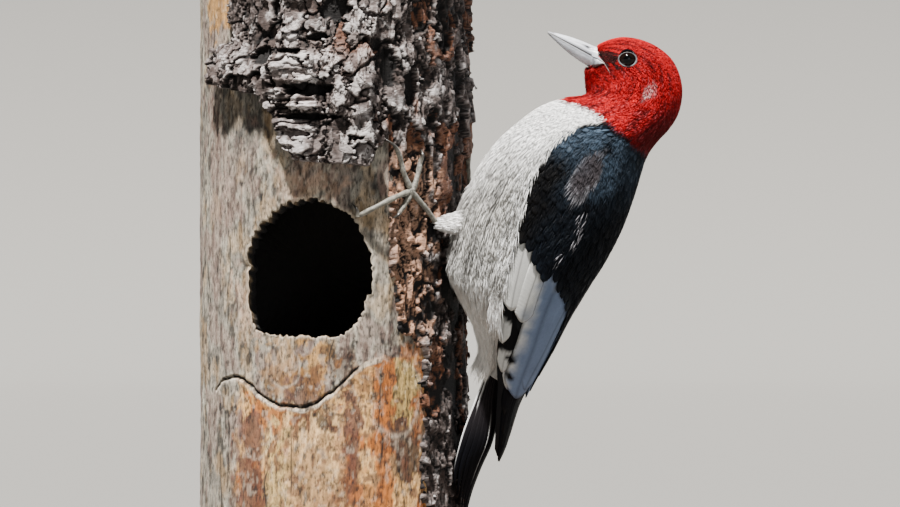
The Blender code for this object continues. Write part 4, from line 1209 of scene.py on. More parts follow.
def buildLeg(side):
    sign = -1 if side == "left" else 1
    footAt, footHeight = legs["foot"][side]

    def overBark(outward, upward, above):
        degrees = footAt + sign * np.degrees(np.asarray(outward) / trunk["wood"])
        height = footHeight + np.asarray(upward)
        return trunkPoint(degrees, height, solidRadius(degrees, height) + above)

    ankle, knee = np.array(legs["ankle"][side]), np.array(legs["knee"][side])
    foot = overBark(0.0, 0.0, 1.75)
    outward = unit(foot - np.array([trunk["x"], 0, foot[2]]))
    path = curve([ankle + (knee - ankle) * 0.12, ankle, ankle * 0.5 + foot * 0.5 + outward * 0.5, foot,
                  foot - outward * 0.5], 90)
    base = np.interp(np.linspace(0, 1, 90), [0, 0.18, 0.4, 0.6, 0.8, 1.0], [1.5, 1.35, 1.05, 1.1, 1.45, 1.2])
    scalyTube(f"tarsus_{side}_skin", f"tarsus_{side}", path, base, 17.0, outward, 1.2, 0.35, 0)

    count = 66
    for number, (line, clawTip) in enumerate(legs["toes"], 1):
        points = [overBark(o, u, 1.55) for o, u in line]
        path = curve([foot * 0.75 + points[0] * 0.25, *points], count)
        knuckles = 0.10 * np.cos(np.linspace(0, 2 * np.pi * (len(line) - 0.5), count))
        base = (1.3 - 0.34 * np.linspace(0, 1, count)) * (1 + knuckles)
        base[-6:] = base[-6:] * np.sqrt(np.linspace(1, 0.15, 6))
        length = np.linalg.norm(np.diff(path, axis=0), axis=1).sum()
        name = f"toe_{side}_{number}"
        scalyTube(name + "_skin", name, path, base, length, outward, 1.1, 0.3, 0.4)
        buildClaw(side, number, path[-3], overBark(*clawTip, 0.25), outward)


def buildLegs():
    for side in ("left", "right"):
        buildLeg(side)
    print("legs built")


# Weathered pine: grey sapwood opened along the grain by rain and sun, raw orange wood where bark fell lately
pineWood = grainFinish("weathered pine wood", {"Roughness": 0.82, "IOR": 1.45}, "Noise",
                       {"Scale": 1.0, "Detail": 6.0, "Roughness": 0.7},
                       [(0.36, 0.18), (0.46, 0.72), (0.56, 1.0)], (1.0, 0.0008),
                       {"Scale": (1050, 1050, 330)})  # fibres 1 mm wide, 3 mm long

# Pine bark: dead corky layers, split into plates and flaking in thin leaves; dry, quite without shine
pineBark = grainFinish("pine bark, flaking plates", {"Roughness": 0.9, "IOR": 1.4}, "Noise",
                       {"Scale": 1.0, "Detail": 7.0, "Roughness": 0.7},
                       [(0.34, 0.20), (0.48, 0.70), (0.62, 1.0)], (0.9, 0.0006),
                       {"Scale": (420, 420, 1250)})  # crumbs of about 1 to 2 mm


woodTones = palette(
    grey="#756F65", pale="#A59F90", ochre="#A47634", slate="#454340", dark="#39342D", pink="#806A60",
    orange="#A05A1C", yellow="#CE9E60", brown="#542C14", rim="#C6B9A6", deep="#0C0603", cut="#A98E6A",
    straw="#CCA878", umber="#38261C", olive="#A08C54", tan="#B0886A", mauve="#563226")
barkTones = palette(grey="#6A605D", pale="#AFA9A7", mid="#3E332F", deep="#0C0807", rust="#66391C",
                    flesh="#B88C70")

woodNoise, barkNoise, crumbNoise = makeNoise(101), makeNoise(102), makeNoise(103)

wood = {
    # the wavy crack below the hole: degrees round, height
    "crack": ([-62, -57, -53.5, -46, -39, -33, -27, -21, -11, -1, 10.4, 13, 17, 24],
              [101, 104.3, 107.5, 109.5, 108, 101.1, 98.3, 95.6, 95.6, 101, 109, 113, 116.7, 117.2]),
    # stains, two of them painted shadow under the bark's hanging flap and slab: middle and half width in
    # degrees, upper and lower end, tone, strength
    "stains": [
        (-10, 19, 96, 40, "straw", 0.6), (-24, 5.5, 86, 40, "olive", 0.55),
        (-29, 8.5, 98, 85, "orange", 0.85), (-37, 6.5, 90, 40, "mauve", 0.9),
        (-33, 2.6, 70, 40, "brown", 0.8), (1.6, 3.4, 95, 87, "umber", 0.9),
        (10.5, 3.4, 99, 48, "mauve", 0.9), (24.5, 4.2, 102, 40, "orange", 0.9),
        (13.5, 8, 116, 101, "brown", 0.45), (13.5, 5, 112, 103, "brown", 0.5),
        (34.5, 5.5, 111, 88, "olive", 0.8), (36, 8, 88, 66, "umber", 0.9), (-9, 9, 79, 40, "brown", 0.45),
        (16, 8, 68, 40, "orange", 0.65), (4, 5, 66, 40, "umber", 0.5), (-46.5, 3.2, 97, 74, "pink", 0.6),
        (-46, 3, 70, 40, "brown", 0.55), (-5, 6.5, 122, 103, "ochre", 0.8),
        (-11, 11, 112, 95, "brown", 0.75), (5.5, 5.5, 124, 109, "umber", 0.6),
        (-22, 9, 123, 104, "ochre", 0.45), (38, 4.5, 123, 111, "orange", 0.7),
        (30, 4, 125, 116, "umber", 0.75), (-52, 5, 190, 168, "pink", 0.5), (-62, 4, 236, 205, "mauve", 0.6),
        (-60, 4, 200, 140, "pink", 0.5), (-58, 9, 272, 252, "ochre", 0.8),
        # painted shadow: the two dark grey stains below the hanging bark flap and slab
        (-42, 16, 232, 208, "slate", 0.6), (11, 9, 199, 184, "slate", 0.5),
        (-10, 12, 196, 180, "tan", 0.35), (-44, 7, 206, 184, "pink", 0.4), (-36, 9, 150, 128, "tan", 0.4)],
    # drying splits: degrees, upper and lower end, width in degrees
    "splits": [(1.2, 126, 100, 0.5), (22.5, 113, 68, 0.6), (9.5, 118, 106, 0.45), (-40, 66, 42, 0.45),
               (-56, 84, 50, 0.45), (-50.8, 94, 58, 0.5), (-28, 70, 44, 0.7), (-17.3, 84, 58, 0.4),
               (34, 66, 42, 0.6), (-34, 205, 176, 0.45), (-50, 168, 138, 0.45), (-62, 262, 214, 0.5)],
    # middle degrees and height, half width, half height
    "galleries": [(-20, 113, 7, 9), (-52, 106, 6, 6), (30, 100, 13, 16), (-34, 84, 8, 10)],
    "knots": [(-37.5, 116, 1.6, 3.4), (-56, 95.5, 2.2, 1.6), (-51, 94, 2.0, 1.2), (-47, 95, 2.4, 1.5),
              (-2.5, 90, 3.0, 4.0), (-6, 93, 1.6, 1.6), (-48, 232, 1.2, 2.0), (-41, 190, 1.6, 1.2)],
    "rimTeeth": 0.6,
    "tunnel": np.array([0.6, 1.4, 2.6, 4.5, 7, 11, 17, 26, 38, 52]),  # depths of the hole's rings
}


# noise on the trunk, its cells width by tall millimetres
def around(noise, degrees, height, width, tall, octaves=3, shift=0.0):
    angle = np.radians(degrees)
    p = abreast(np.sin(angle) * trunk["wood"] / width, -np.cos(angle) * trunk["wood"] / width,
                height / tall)
    return fractal(noise, p + shift, octaves)


def holeReach(angle):  # the hole's edge, its distance and direction: an arch above, squarer below
    up = np.sin(angle)
    power = np.where(up < 0, np.where(np.cos(angle) < 0, 0.4, 0.5), 1.0)
    across = trunk["holeHalf"][0] * np.abs(np.cos(angle)) ** power
    rise = trunk["holeHalf"][1] * np.abs(up) ** power
    return np.hypot(across, rise), np.arctan2(np.sign(up) * rise, np.sign(np.cos(angle)) * across)


def crackLine(degrees):  # the crack's height, its bends rounded
    bends = sum(np.interp(degrees + k, *wood["crack"]) for k in (-3.0, -1.5, 0.0, 1.5, 3.0)) / 5
    return bends + fractal(woodNoise, abreast(degrees / 5.0, 3.3, 0), 3)


def woodColour(degrees, height):
    c = woodTones
    streak = around(woodNoise, degrees, height, 1.7, 9.0)
    broad = around(woodNoise, degrees, height, 8.0, 14.0, shift=3.1)
    blotch = around(barkNoise, degrees, height, 4.5, 6.0, 4)
    mottle = around(crumbNoise, degrees, height, 2.2, 3.0, shift=7.0)
    crack = crackLine(degrees)
    raw = smoothStep(-47, -42, degrees + 5 * blotch + 3 * mottle) * smoothStep(50, 44, degrees + 5 * blotch)
    raw = raw * smoothStep(0.5, -0.5, height - crack)
    rawTone = paint(c["yellow"], (c["orange"], smoothStep(-0.1, 0.35, broad + 0.5 * blotch + 0.3 * mottle)),
                    (c["straw"], 0.7 * smoothStep(0.1, 0.5, mottle - 0.3 * broad)))
    tone = paint(c["grey"], (c["pale"], np.clip(0.3 + 0.7 * streak + 0.5 * broad + 0.5 * mottle, 0, 1)),
                 (c["dark"], 0.9 * smoothStep(0.06, 0.52, -streak + 0.5 * blotch)),
                 (c["pink"], 0.6 * smoothStep(0.05, 0.5, broad + 0.4 * blotch)),
                 (c["straw"], 0.3 * smoothStep(0.1, 0.6, -broad + 0.4 * mottle)), (rawTone, raw))
    ragged = 3.2 * blotch + 2.2 * mottle
    tall = height + 2.5 * ragged
    for middle, half, high, low, key, strength in wood["stains"]:
        inside = smoothStep(1.25, 0.75, np.abs(degrees - middle) / half + 0.2 * ragged)
        inside = inside * smoothStep(high + 2, high - 3, tall) * smoothStep(low - 3, low + 2, tall)
        tone = blendTone(tone, c[key] * (1 + 0.4 * streak[..., None]), strength * inside)
    flecks = smoothStep(0.2, 0.55, mottle + 0.4 * blotch) * (0.25 + 0.75 * raw)
    tone = blendTone(tone, c["brown"] * (0.5 + 0.5 * raw[..., None]), 0.7 * flecks)
    for middle, high, low, width in wood["splits"]:
        bent = 1.5 * woodNoise(abreast(height / 9.0, middle, 0))
        line = smoothStep(width, 0.3 * width, np.abs(degrees - middle - bent))
        line = line * smoothStep(high, high - 2, height) * smoothStep(low, low + 4, height)
        tone = blendTone(tone, c["deep"], 0.92 * line)
    for middle, level, wide, tall in wood["galleries"]:  # pale rings left by beetle galleries
        dx, dz = (degrees - middle) / wide, (height - level) / tall
        ring = np.exp(-((np.hypot(dx, dz) + 0.08 * blotch - 1.0) / 0.07) ** 2)
        tone = blendTone(tone, c["rim"], 0.4 * ring * smoothStep(-0.6, 0.2, dx - dz))
    for middle, level, wide, tall in wood["knots"]:
        spot = np.hypot((degrees - middle) / wide, (height - level) / tall) + 0.5 * mottle
        tone = blendTone(tone, c["deep"], 0.8 * smoothStep(1.1, 0.7, spot))
    # the crack below the hole: painted shadow in it and painted light on the raised lip below it
    rise = height - crack + 0.3 * mottle
    edge = smoothStep(1.5, 0.7, np.abs(rise + 1.1)) * (0.35 + 0.5 * smoothStep(-0.3, 0.4, blotch))
    gaping = (degrees > -60) & (degrees < 13)
    pits = smoothStep(0.45, 0.7, around(crumbNoise, degrees, height, 1.7, 2.8, 2))
    chips = smoothStep(0.36, 0.62, around(crumbNoise, degrees, height, 2.0, 2.6, shift=6.0))
    return paint(tone, (c["rim"], edge * smoothStep(30, 20, degrees) * (degrees > -60)),
                 (c["deep"], smoothStep(0.85, 0.45, np.abs(rise)) * gaping), (c["deep"], 0.7 * pits),
                 (c["rim"], 0.25 * chips))


def woodGrid():  # fine in front and below the hole, coarse where bark covers it
    degrees = np.concatenate([np.linspace(-78, 50, 276), np.linspace(50, 230, 14)[1:],
                              np.linspace(230, 282, 64)[1:-1]])
    height = np.concatenate([np.linspace(trunk["foot"], 90, 48), np.linspace(90, 128, 70)[1:],
                             np.linspace(128, trunk["top"], 122)[1:]])
    return np.meshgrid(degrees, height)


def woodRadius(degrees, height):
    rise = height - crackLine(degrees)
    gaping = smoothStep(-62, -59, degrees) * smoothStep(14, 8, degrees)
    groove = smoothStep(0.9, 0.4, np.abs(rise)) * gaping
    ledge = smoothStep(0.4, -0.4, rise) * smoothStep(-7, -0.5, rise) * gaping
    return (trunk["wood"] + 0.28 * around(woodNoise, degrees, height, 1.2, 6.0, 4)
            + 0.35 * around(woodNoise, degrees, height, 14.0, 45.0, 2, 5.0) - 1.3 * groove + 0.35 * ledge)


def holeTeeth(angle):  # how far the torn fibres of the hole's rim stand out or in
    upper = smoothStep(-0.2, 0.4, np.sin(angle)) * smoothStep(0.6, -0.3, np.cos(angle))
    ring = abreast(np.cos(angle) * 9, np.sin(angle) * 9, 0)
    bites = np.tanh(5 * crumbNoise(ring * 2.4)) + 0.8 * crumbNoise(ring * 5.5)
    ledge = smoothStep(-0.38, -0.46, angle) * smoothStep(-1.25, -0.80, angle)
    return wood["rimTeeth"] * ((0.65 + 0.8 * upper) * bites + 0.9 * crumbNoise(ring * 0.5) - 3.6 * ledge)


def holeEdge(angle):
    reach, at = holeReach(np.linspace(-np.pi, np.pi, 721))
    order = np.argsort(at)
    return np.interp(angle, at[order], reach[order], period=2 * np.pi)


def rimOf(faces, gone, count):  # points that lie on an edge between a removed and a kept face
    def edges(some):
        pairs = np.sort(np.concatenate([some[:, [k, (k + 1) % 4]] for k in range(4)]), axis=1)
        return pairs, pairs[:, 0].astype(np.int64) * count + pairs[:, 1]
    pairs, code = edges(faces[gone])
    return np.unique(pairs[np.isin(code, edges(faces[~gone])[1])])


# the hole: its teeth push the wood about, faces inside go, and a tunnel is sewn to the rim
def buildWood():
    degrees, height = woodGrid()
    rows, cols = degrees.shape
    p = trunkPoint(degrees, height, woodRadius(degrees, height))
    cx, cz = trunk["hole"]
    dx, dz = p[..., 0] - cx, p[..., 2] - cz
    angle, distance = np.arctan2(dz, dx), np.hypot(dx, dz)
    edge = holeEdge(angle)
    nearFront = p[..., 1] < -10
    push = holeTeeth(angle) * np.clip(1 - np.abs(distance - edge) / 3.5, 0, 1) * nearFront
    p[..., 0] += np.cos(angle) * push
    p[..., 2] += np.sin(angle) * push
    inside = (distance < edge) & nearFront
    tone = blendTone(woodColour(degrees, height), woodTones["rim"],
                     0.45 * smoothStep(1.8, 0.3, distance - edge) * nearFront)
    faces = gridFaces(rows, cols, wrap=True)
    gone = inside.ravel()[faces].sum(axis=1) >= 2
    rim = rimOf(faces, gone, rows * cols)
    flat, rimAngle = p.reshape(-1, 3), angle.ravel()[rim]
    rim, rimAngle = rim[np.argsort(rimAngle)], np.sort(rimAngle)
    rimReach = holeEdge(rimAngle) + holeTeeth(rimAngle)
    flat[rim, 0], flat[rim, 2] = cx + np.cos(rimAngle) * rimReach, cz + np.sin(rimAngle) * rimReach
    flat[rim, 1] = -np.sqrt(np.maximum((trunk["wood"] + 0.1) ** 2 - (flat[rim, 0] - trunk["x"]) ** 2, 100))
    ridge, n, depths = flat[rim], len(rim), wood["tunnel"]
    rings = []
    for depth in depths:
        share = smoothStep(0, 8.0, depth)
        place = abreast(ridge[:, 0] / 3, ridge[:, 2] / 3, depth / 4)
        r = rimReach + 0.4 * share + 0.5 * fractal(barkNoise, place, 2) * share
        y = np.minimum(ridge[:, 1] + depth, trunk["holeBack"] - 0.4)
        rings.append(abreast(cx + 2.2 * share + np.cos(rimAngle) * r, y,
                             cz - 1.0 * share + np.sin(rimAngle) * r))
    first = rows * cols + 2
    levels = np.concatenate([rim[None], first + np.arange(len(depths) * n).reshape(len(depths), n)])
    ahead = np.roll(levels, -1, axis=1)
    walls = abreast(levels[:-1], levels[1:], ahead[1:], ahead[:-1]).reshape(-1, 4)
    end = abreast(levels[-1], first + len(depths) * n, ahead[-1])
    tooth = fractal(crumbNoise, abreast(rimAngle * 20, 2, 0), 2)
    depths = depths[:, None]
    # painted shade inside the hole: the tunnel's wall darkens with depth to the dark end
    wall = blendTone(woodTones["cut"] * 0.5, woodTones["deep"],
                     np.clip(smoothStep(0, 5, depths) + 0.6 * tooth * (depths < 5), 0, 1))
    caps = [[trunk["x"], 0, trunk[key]] for key in ("foot", "top")]
    verts = np.vstack([flat, caps, *rings, [[cx, trunk["holeBack"], cz]]])
    tones = np.vstack([tone.reshape(-1, 3), woodTones["cut"], woodTones["cut"], wall.reshape(-1, 3),
                       woodTones["deep"]])
    makePiece("bare_wood", verts, [faces[~gone], *tubeFaces(rows, cols)[1:], walls[:, ::-1], end[:, ::-1]],
              pineWood, ["perch_trunk"], tones)


barkMap = {
    # left border of the bark by height, lower border by degrees
    "left": ([40, 122, 128, 150, 196, 200, 226, 232, 246, 250, 272],
             [45, 43, 31, 28, 27, -24, -26, -58, -56, -46, -47]),
    "slabFoot": ([-24, -20, -17, -14, -9, -6, 3, 14, 20, 26],
                 [212, 208, 202, 200, 199, 195, 193.5, 195, 204, 210]),
    "leftFoot": ([-60, -50, -42, -36, -30, -24], [231, 233, 230, 224, 222, 228]),
}


def barkThickness(degrees, height):
    ragged = around(crumbNoise, degrees, height, 2.4, 3.2)
    wander = around(barkNoise, degrees, height, 9.0, 12.0, 2)
    left = np.interp(height, *barkMap["left"]) + 2.6 * ragged + 2.5 * wander
    foot = np.where(degrees < -24, np.interp(degrees, *barkMap["leftFoot"]),
                    np.interp(degrees, *barkMap["slabFoot"]))
    foot = np.where(degrees > 27, 0.0, foot + 2.6 * ragged + 1.2 * wander)
    inBark = smoothStep(-0.5, 0.5, degrees - left) * smoothStep(-0.5, 0.5, height - foot)
    right = smoothStep(24, 40, degrees)
    slab = smoothStep(-27, -23, degrees) * smoothStep(22, 14, degrees) * smoothStep(252, 240, height)
    flap = smoothStep(-23, -26, degrees) * smoothStep(252, 232, height)
    thick = 3.0 - 1.4 * right * smoothStep(214, 190, height) + 3.9 * slab + 4.6 * flap
    inBark = inBark * smoothStep(-0.6, 0.6, 243 + 4 * ragged + 7 * wander - degrees)  # ragged far border
    return inBark, thick, slab


barkRandom = np.random.default_rng(105).random((64, 64, 4))
bark = {
    # gaps under lifted plates, sunk and darkened with painted shade: middle degree, half width, height, half
    # height, depth
    "gaps": [
        (-11, 10.5, 229, 2.7, 4.0), (-10.5, 12, 217.5, 1.9, 4.0), (-4.6, 4, 251, 1.6, 3.5),
        (-16.5, 3.6, 245, 1.0, 3.0), (-28.5, 5, 243.5, 4.2, 4.0), (2, 6.5, 262.5, 4.4, 3.6),
        (-22, 1.8, 262, 6, 3.5), (25.5, 2.4, 239.5, 8, 3.0), (36, 2.8, 228.5, 6.5, 3.0),
        (55, 5, 256, 11, 2.2), (66, 4, 232, 9, 1.8), (33, 5, 129, 3.0, 2.6), (46, 5, 137, 6, 2.4),
        (62, 4, 118, 7, 2.0), (50, 3, 170, 7, 2.0), (60, 4, 150, 9, 1.8)],
    # large plates standing free, lifted and painted lighter: middle degree, half width, height, half height,
    # lift
    "plates": [
        (-12, 10.5, 238, 5.4, 1.6), (-2, 3.2, 238, 6.4, 1.2), (9, 6.0, 226, 7.4, 1.4),
        (9.5, 9.5, 203, 7.5, 2.2), (-7.5, 6, 207, 6.5, 1.4), (-18, 4.5, 209.5, 4.0, 1.0),
        (16, 4, 258, 6.5, 1.6), (-12, 8.5, 256, 5.0, 1.2), (-40, 6, 246, 7, 1.0), (31, 3.4, 243, 6, 1.6),
        (-31.5, 2.6, 230.5, 4, 1.4), (-12, 10.5, 222.6, 1.2, 2.4)],
    "leaves": (-0.28, -0.02, 0.24),  # where the noise steps from one leaf to the next
}


# plates of the bark: nearest and second nearest of scattered middles, their difference 0 on the crack between
def plateCells(u, v, shift):
    first, second, below = np.full(u.shape, 9.0), np.full(u.shape, 9.0), np.zeros(u.shape)
    own = np.zeros((*u.shape, 4))
    for du, dv in np.ndindex(3, 3):
        cu, cv = np.floor(u).astype(int) + du - 1, np.floor(v).astype(int) + dv - 1
        spot = barkRandom[(cu + shift) % 64, cv % 64]
        rise = cv + 0.1 + 0.8 * spot[..., 1] - v
        away = np.hypot(cu + 0.1 + 0.8 * spot[..., 0] - u, rise)
        nearer = away < first
        second = np.where(nearer, first, np.minimum(second, away))
        below, own = np.where(nearer, rise, below), np.where(nearer[..., None], spot, own)
        first = np.where(nearer, away, first)
    return second - first, own, below


# every plate flat with its own lift, thicker at its lower edge, split into thin leaves ending in sharp steps
def barkRelief(degrees, height):
    inBark, thick, slab = barkThickness(degrees, height)
    warp = around(barkNoise, degrees, height, 10.0, 14.0, 2, 2.0)
    drift = around(barkNoise, degrees, height, 10.0, 9.0, 2, 5.5)
    crumb = around(crumbNoise, degrees, height, 2.4, 1.8, 3, 5.0)
    right = smoothStep(20, 40, degrees)
    arc = np.radians(degrees) * trunk["wood"]
    lying = plateCells(arc / 17 + 0.5 * warp + 0.10 * crumb, height / 7.5 + 0.7 * drift + 0.18 * crumb, 0)
    standing = plateCells(arc / 8.5 + 0.5 * warp + 0.20 * crumb, height / 18 + 0.5 * drift + 0.10 * crumb, 7)
    pick = slab * smoothStep(-2, -8, degrees + 6 * warp) > 0.5
    edge, below = np.where(pick, lying[0], standing[0]), np.where(pick, lying[2], standing[2])
    own = np.where(pick[..., None], lying[1], standing[1])
    leaf = np.where(pick, around(crumbNoise, degrees, height, 9.0, 2.6, 3, 3.0),
                    around(crumbNoise, degrees, height, 3.2, 9.0, 3, 3.0)) + 0.3 * warp
    steps = sum(smoothStep(at - 0.02, at + 0.03, leaf) for at in bark["leaves"])
    seams = sum(smoothStep(0.055, 0.015, np.abs(leaf - at + 0.02)) for at in bark["leaves"])
    lips = sum(smoothStep(0.10, 0.04, np.abs(leaf - at - 0.06)) for at in bark["leaves"])
    crack = smoothStep(0.12, 0.04, edge)
    gap, plate = np.zeros(degrees.shape), np.zeros(degrees.shape)
    wobble = 0.35 * drift + 0.3 * crumb
    for middle, half, at, tall, depth in bark["gaps"]:
        away = np.hypot((degrees - middle) / half, (height - at) / tall)
        gap = np.maximum(gap, smoothStep(1.12, 0.90, away + wobble) * depth)
    for middle, half, at, tall, lift in bark["plates"]:
        box = np.maximum(np.abs(degrees - middle) / half, np.abs(height - at) / tall)
        leaning = lift * (1 - 0.3 * (height - at) / tall)
        plate = np.maximum(plate, smoothStep(1.08, 0.98, box + 0.6 * wobble) * leaning)
    relief = (0.75 * (steps - 1.5) + 2.4 * (own[..., 2] - 0.5) + 1.5 * below - 1.4 * crack - gap + plate
              + 0.25 * crumb)
    flat = 1 - 0.2 * right * smoothStep(214, 190, height)
    radius = trunk["wood"] - 0.9 + inBark * np.maximum(thick + 0.9 + relief * flat, 1.3)
    # shade sets the bark's tone: each plate's own tone and crumbs, painted light on higher leaves, leaf lips,
    # lower plate edges, lifted plates and the slab, painted shade in seams, cracks and the gaps under plates
    shade = (0.30 + 0.07 * (steps - 1.5) + 0.26 * (own[..., 2] - 0.5) + 0.20 * crumb + 0.14 * lips
             + 0.10 * below - 0.32 * seams - 0.5 * crack - 0.22 * np.minimum(gap, 3)
             + 0.15 * np.minimum(plate, 1.2) + 0.08 * slab)
    # painted shade low on the trunk and on its right side
    shade = shade - 0.10 * smoothStep(130, 100, height) - 0.12 * smoothStep(50, 75, degrees)
    return radius, np.clip(shade, 0, 1), own[..., 3], inBark, slab


def barkColour(degrees, height, shade, own, slab):
    c = barkTones
    blotch = around(crumbNoise, degrees, height, 3.4, 4.4, shift=4.0)
    middle = np.exp(-((height - 165) / 45) ** 2) * smoothStep(22, 28, degrees) * smoothStep(62, 44, degrees)
    rust = smoothStep(0.74, 0.80, own + 0.2 * middle + 0.12 * blotch) * smoothStep(0.04, 0.22, shade)
    rust = rust * (1 - 0.9 * slab) * smoothStep(-10, 10, degrees)
    inner = smoothStep(54, 42, degrees + 10 * blotch) * smoothStep(24, 30, degrees)
    inner = inner * smoothStep(208, 196, height) * smoothStep(112, 126, height) * smoothStep(0.04, 0.3, shade)
    # the tones from deep to pale follow shade, so carry its painted light and shade
    tone = paint(c["deep"], (c["mid"], smoothStep(0.0, 0.24, shade)),
                 (c["grey"], smoothStep(0.20, 0.46, shade + 0.1 * blotch)),
                 (c["pale"], smoothStep(0.46, 0.74, shade + 0.3 * blotch)), (c["rust"], 0.75 * rust),
                 (c["flesh"], 0.85 * inner))
    return tone * (0.85 + 0.3 * own)[..., None]


def barkPiece(name, degreeSpan, heightSpan, columns, rows):
    degrees, height = np.meshgrid(np.linspace(*degreeSpan, columns), np.linspace(*heightSpan, rows))
    radius, shade, own, _, slab = barkRelief(degrees, height)
    tone = barkColour(degrees, height, shade, own, slab)
    backs = degrees[:, ::-max(columns // 16, 1)]
    inner = trunkPoint(backs, height[:, :1], trunk["wood"] - 2.5)
    rings = np.concatenate([trunkPoint(degrees, height, radius), inner], axis=1)
    tones = np.concatenate([tone, np.broadcast_to(barkTones["deep"], inner.shape)], axis=1)
    cols = rings.shape[1]
    # ends: a strip of triangles between the outer arc and the inner one
    k = np.arange(columns)
    ahead = columns + np.round((columns - 1 - k) / (columns - 1) * (backs.shape[1] - 1)).astype(int)
    outerTris = abreast(k[1:], k[:-1], ahead[:-1])
    innerTris = abreast(k[1:], ahead[:-1], ahead[1:])[ahead[:-1] != ahead[1:]]
    low = np.concatenate([outerTris, innerTris])
    high = (low + (rows - 1) * cols)[:, ::-1]
    makePiece(name, rings, [gridFaces(rows, cols, wrap=True), low, high], pineBark,
              ["perch_trunk"], tones)


# loose flakes: flat shards with ragged outlines, tilted out at their lower edge
def buildFlakes(count=900, corners=9):
    rng = np.random.default_rng(111)
    degrees, height = rng.uniform(-60, 118, count), rng.uniform(trunk["foot"] + 3, trunk["top"] - 3, count)
    radius, shade, own, inBark, slab = barkRelief(degrees, height)
    footClear = (np.abs(degrees - 40) < 26) & (np.abs(height - 184) < 16)
    keep = (inBark > 0.9) & (shade > 0.35) & ~footClear
    degrees, height, radius, shade, own, slab = (v[keep] for v in (degrees, height, radius, shade, own, slab))
    n = len(degrees)
    size = rng.gamma(3.0, 0.35, n) + 0.5
    out = abreast(np.sin(np.radians(degrees)), -np.cos(np.radians(degrees)), 0)
    up = np.tile([0.0, 0.0, 1.0], (n, 1))
    tilt, roll = rng.uniform(0.0, 0.45, (n, 1)), rng.normal(0, 0.25, (n, 1))
    lengthwise = unit(up * np.cos(tilt) - out * np.sin(tilt) + np.cross(up, out) * roll * 0.5)
    face = unit(np.cross(np.cross(lengthwise, out), lengthwise))
    across = np.cross(lengthwise, face)
    turn = fullTurn(corners)[None, :] + rng.uniform(0, 0.5, (n, corners))
    r = size[:, None] * rng.uniform(0.65, 1.2, (n, corners))
    tall = rng.uniform(0.4, 1.0, n)[:, None]
    centre = trunkPoint(degrees, height, radius + 0.25 + 0.25 * np.sin(tilt[:, 0]) * size)
    offset = (r * np.cos(turn) * 0.8)[..., None] * across[:, None]
    offset = offset + (r * tall * np.sin(turn))[..., None] * lengthwise[:, None]
    thick = rng.uniform(0.12, 0.25, n)[:, None, None]
    warp = rng.normal(0, 0.12, (n, corners, 1)) * size[:, None, None]
    top = centre[:, None] + offset * 0.86 + face[:, None] * (thick / 2 + warp)
    bottom = centre[:, None] + offset + face[:, None] * (warp - thick / 2)
    middle = np.stack([centre + face * thick[:, 0] * 0.8, centre - face * thick[:, 0]], axis=1)
    k = np.arange(corners)
    ahead, topMiddle = (k + 1) % corners, 2 * corners
    shapes = [abreast(k, ahead, corners + ahead, corners + k),
              abreast(corners + k, corners + ahead, topMiddle),
              abreast(ahead, k, topMiddle + 1)]
    base = (np.arange(n) * (2 * corners + 2))[:, None, None]
    # flakes a little lighter than the bark under them: painted light
    tone = barkColour(degrees, height, np.clip(shade + 0.1 + 0.15 * rng.normal(0, 1, n), 0.2, 1), own, slab)
    # light: painted shade on the flakes' undersides, top faces lighter
    light = np.repeat([0.55, 1.0, 0.9, 0.4], [corners, corners, 1, 1])
    makePiece("bark_flakes", np.concatenate([bottom, top, middle], axis=1),
              [(base + shape).reshape(-1, shape.shape[1]) for shape in shapes], pineBark,
              ["perch_trunk"], tone[:, None, :] * light[None, :, None], smooth=False)
    print("bark flakes", n)


# Sawn ends of the log: end grain in growth rings of 2.2 mm a year, pale early wood and resinous late wood,
# split by drying; the pith lies a little off the middle
def endGrainFinish():
    finish, tree, main = newFinish("sawn pine end grain", **{"Roughness": 0.8, "IOR": 1.45})
    place = objectPlace(tree, Location=(0.052, 0.003, 0), Scale=(1, 1, 0))
    wander = addNode(tree, "ShaderNodeTexNoise", inputs={"Vector": place, "Scale": 45.0, "Detail": 3.0})
    away = addNode(tree, "ShaderNodeVectorMath", {"operation": "LENGTH"}, {0: place})
    bent = calculate(tree, "MULTIPLY_ADD", wander.outputs["Fac"], 0.006, away.outputs["Value"])
    rings = calculate(tree, "SINE", calculate(tree, "MULTIPLY", bent, 2 * math.pi / 0.0022))
    light = addNode(tree, "ShaderNodeMapRange", inputs={"Value": rings, "From Min": -1.0}).outputs[0]
    colour = ramp(tree, light, [(0.0, "#A88F66"), (0.6, "#8F7148"), (0.9, "#5E4424")])
    apart = addNode(tree, "ShaderNodeSeparateXYZ", inputs={"Vector": place})
    turned = calculate(tree, "ARCTAN2", apart.outputs["Y"], apart.outputs["X"])
    rays = addNode(tree, "ShaderNodeTexNoise", {"noise_dimensions": "1D"},
                   {"W": turned, "Scale": 9.0, "Detail": 5.0, "Roughness": 0.8})
    splits = ramp(tree, rays.outputs["Fac"], [(0.33, 0.12), (0.37, 0.85), (0.7, 1.0)])
    tree.links.new(multiplyColours(tree, colour, splits), main.inputs["Base Color"])
    raiseSurface(tree, main, splits, 0.6, 0.0006)
    return finish


def buildCutEnds():
    finish = endGrainFinish()
    turn = fullTurn(96)
    for name, height in (("cut_end_top", trunk["top"]), ("cut_end_foot", trunk["foot"])):
        place = abreast(np.cos(turn) * 9, np.sin(turn) * 9, 4)
        radius = trunk["wood"] - 0.7 + 0.3 * fineNoise(place)
        rings = np.stack([trunkPoint(np.degrees(turn), height + lift, radius) for lift in (-0.25, 0.25)])
        middle = [[trunk["x"], 0, height + lift] for lift in (-0.25, 0.25)]
        makePiece(name, np.vstack([rings.reshape(-1, 3), middle]), tubeFaces(2, 96), finish,
                  ["perch_trunk"], smooth=False)


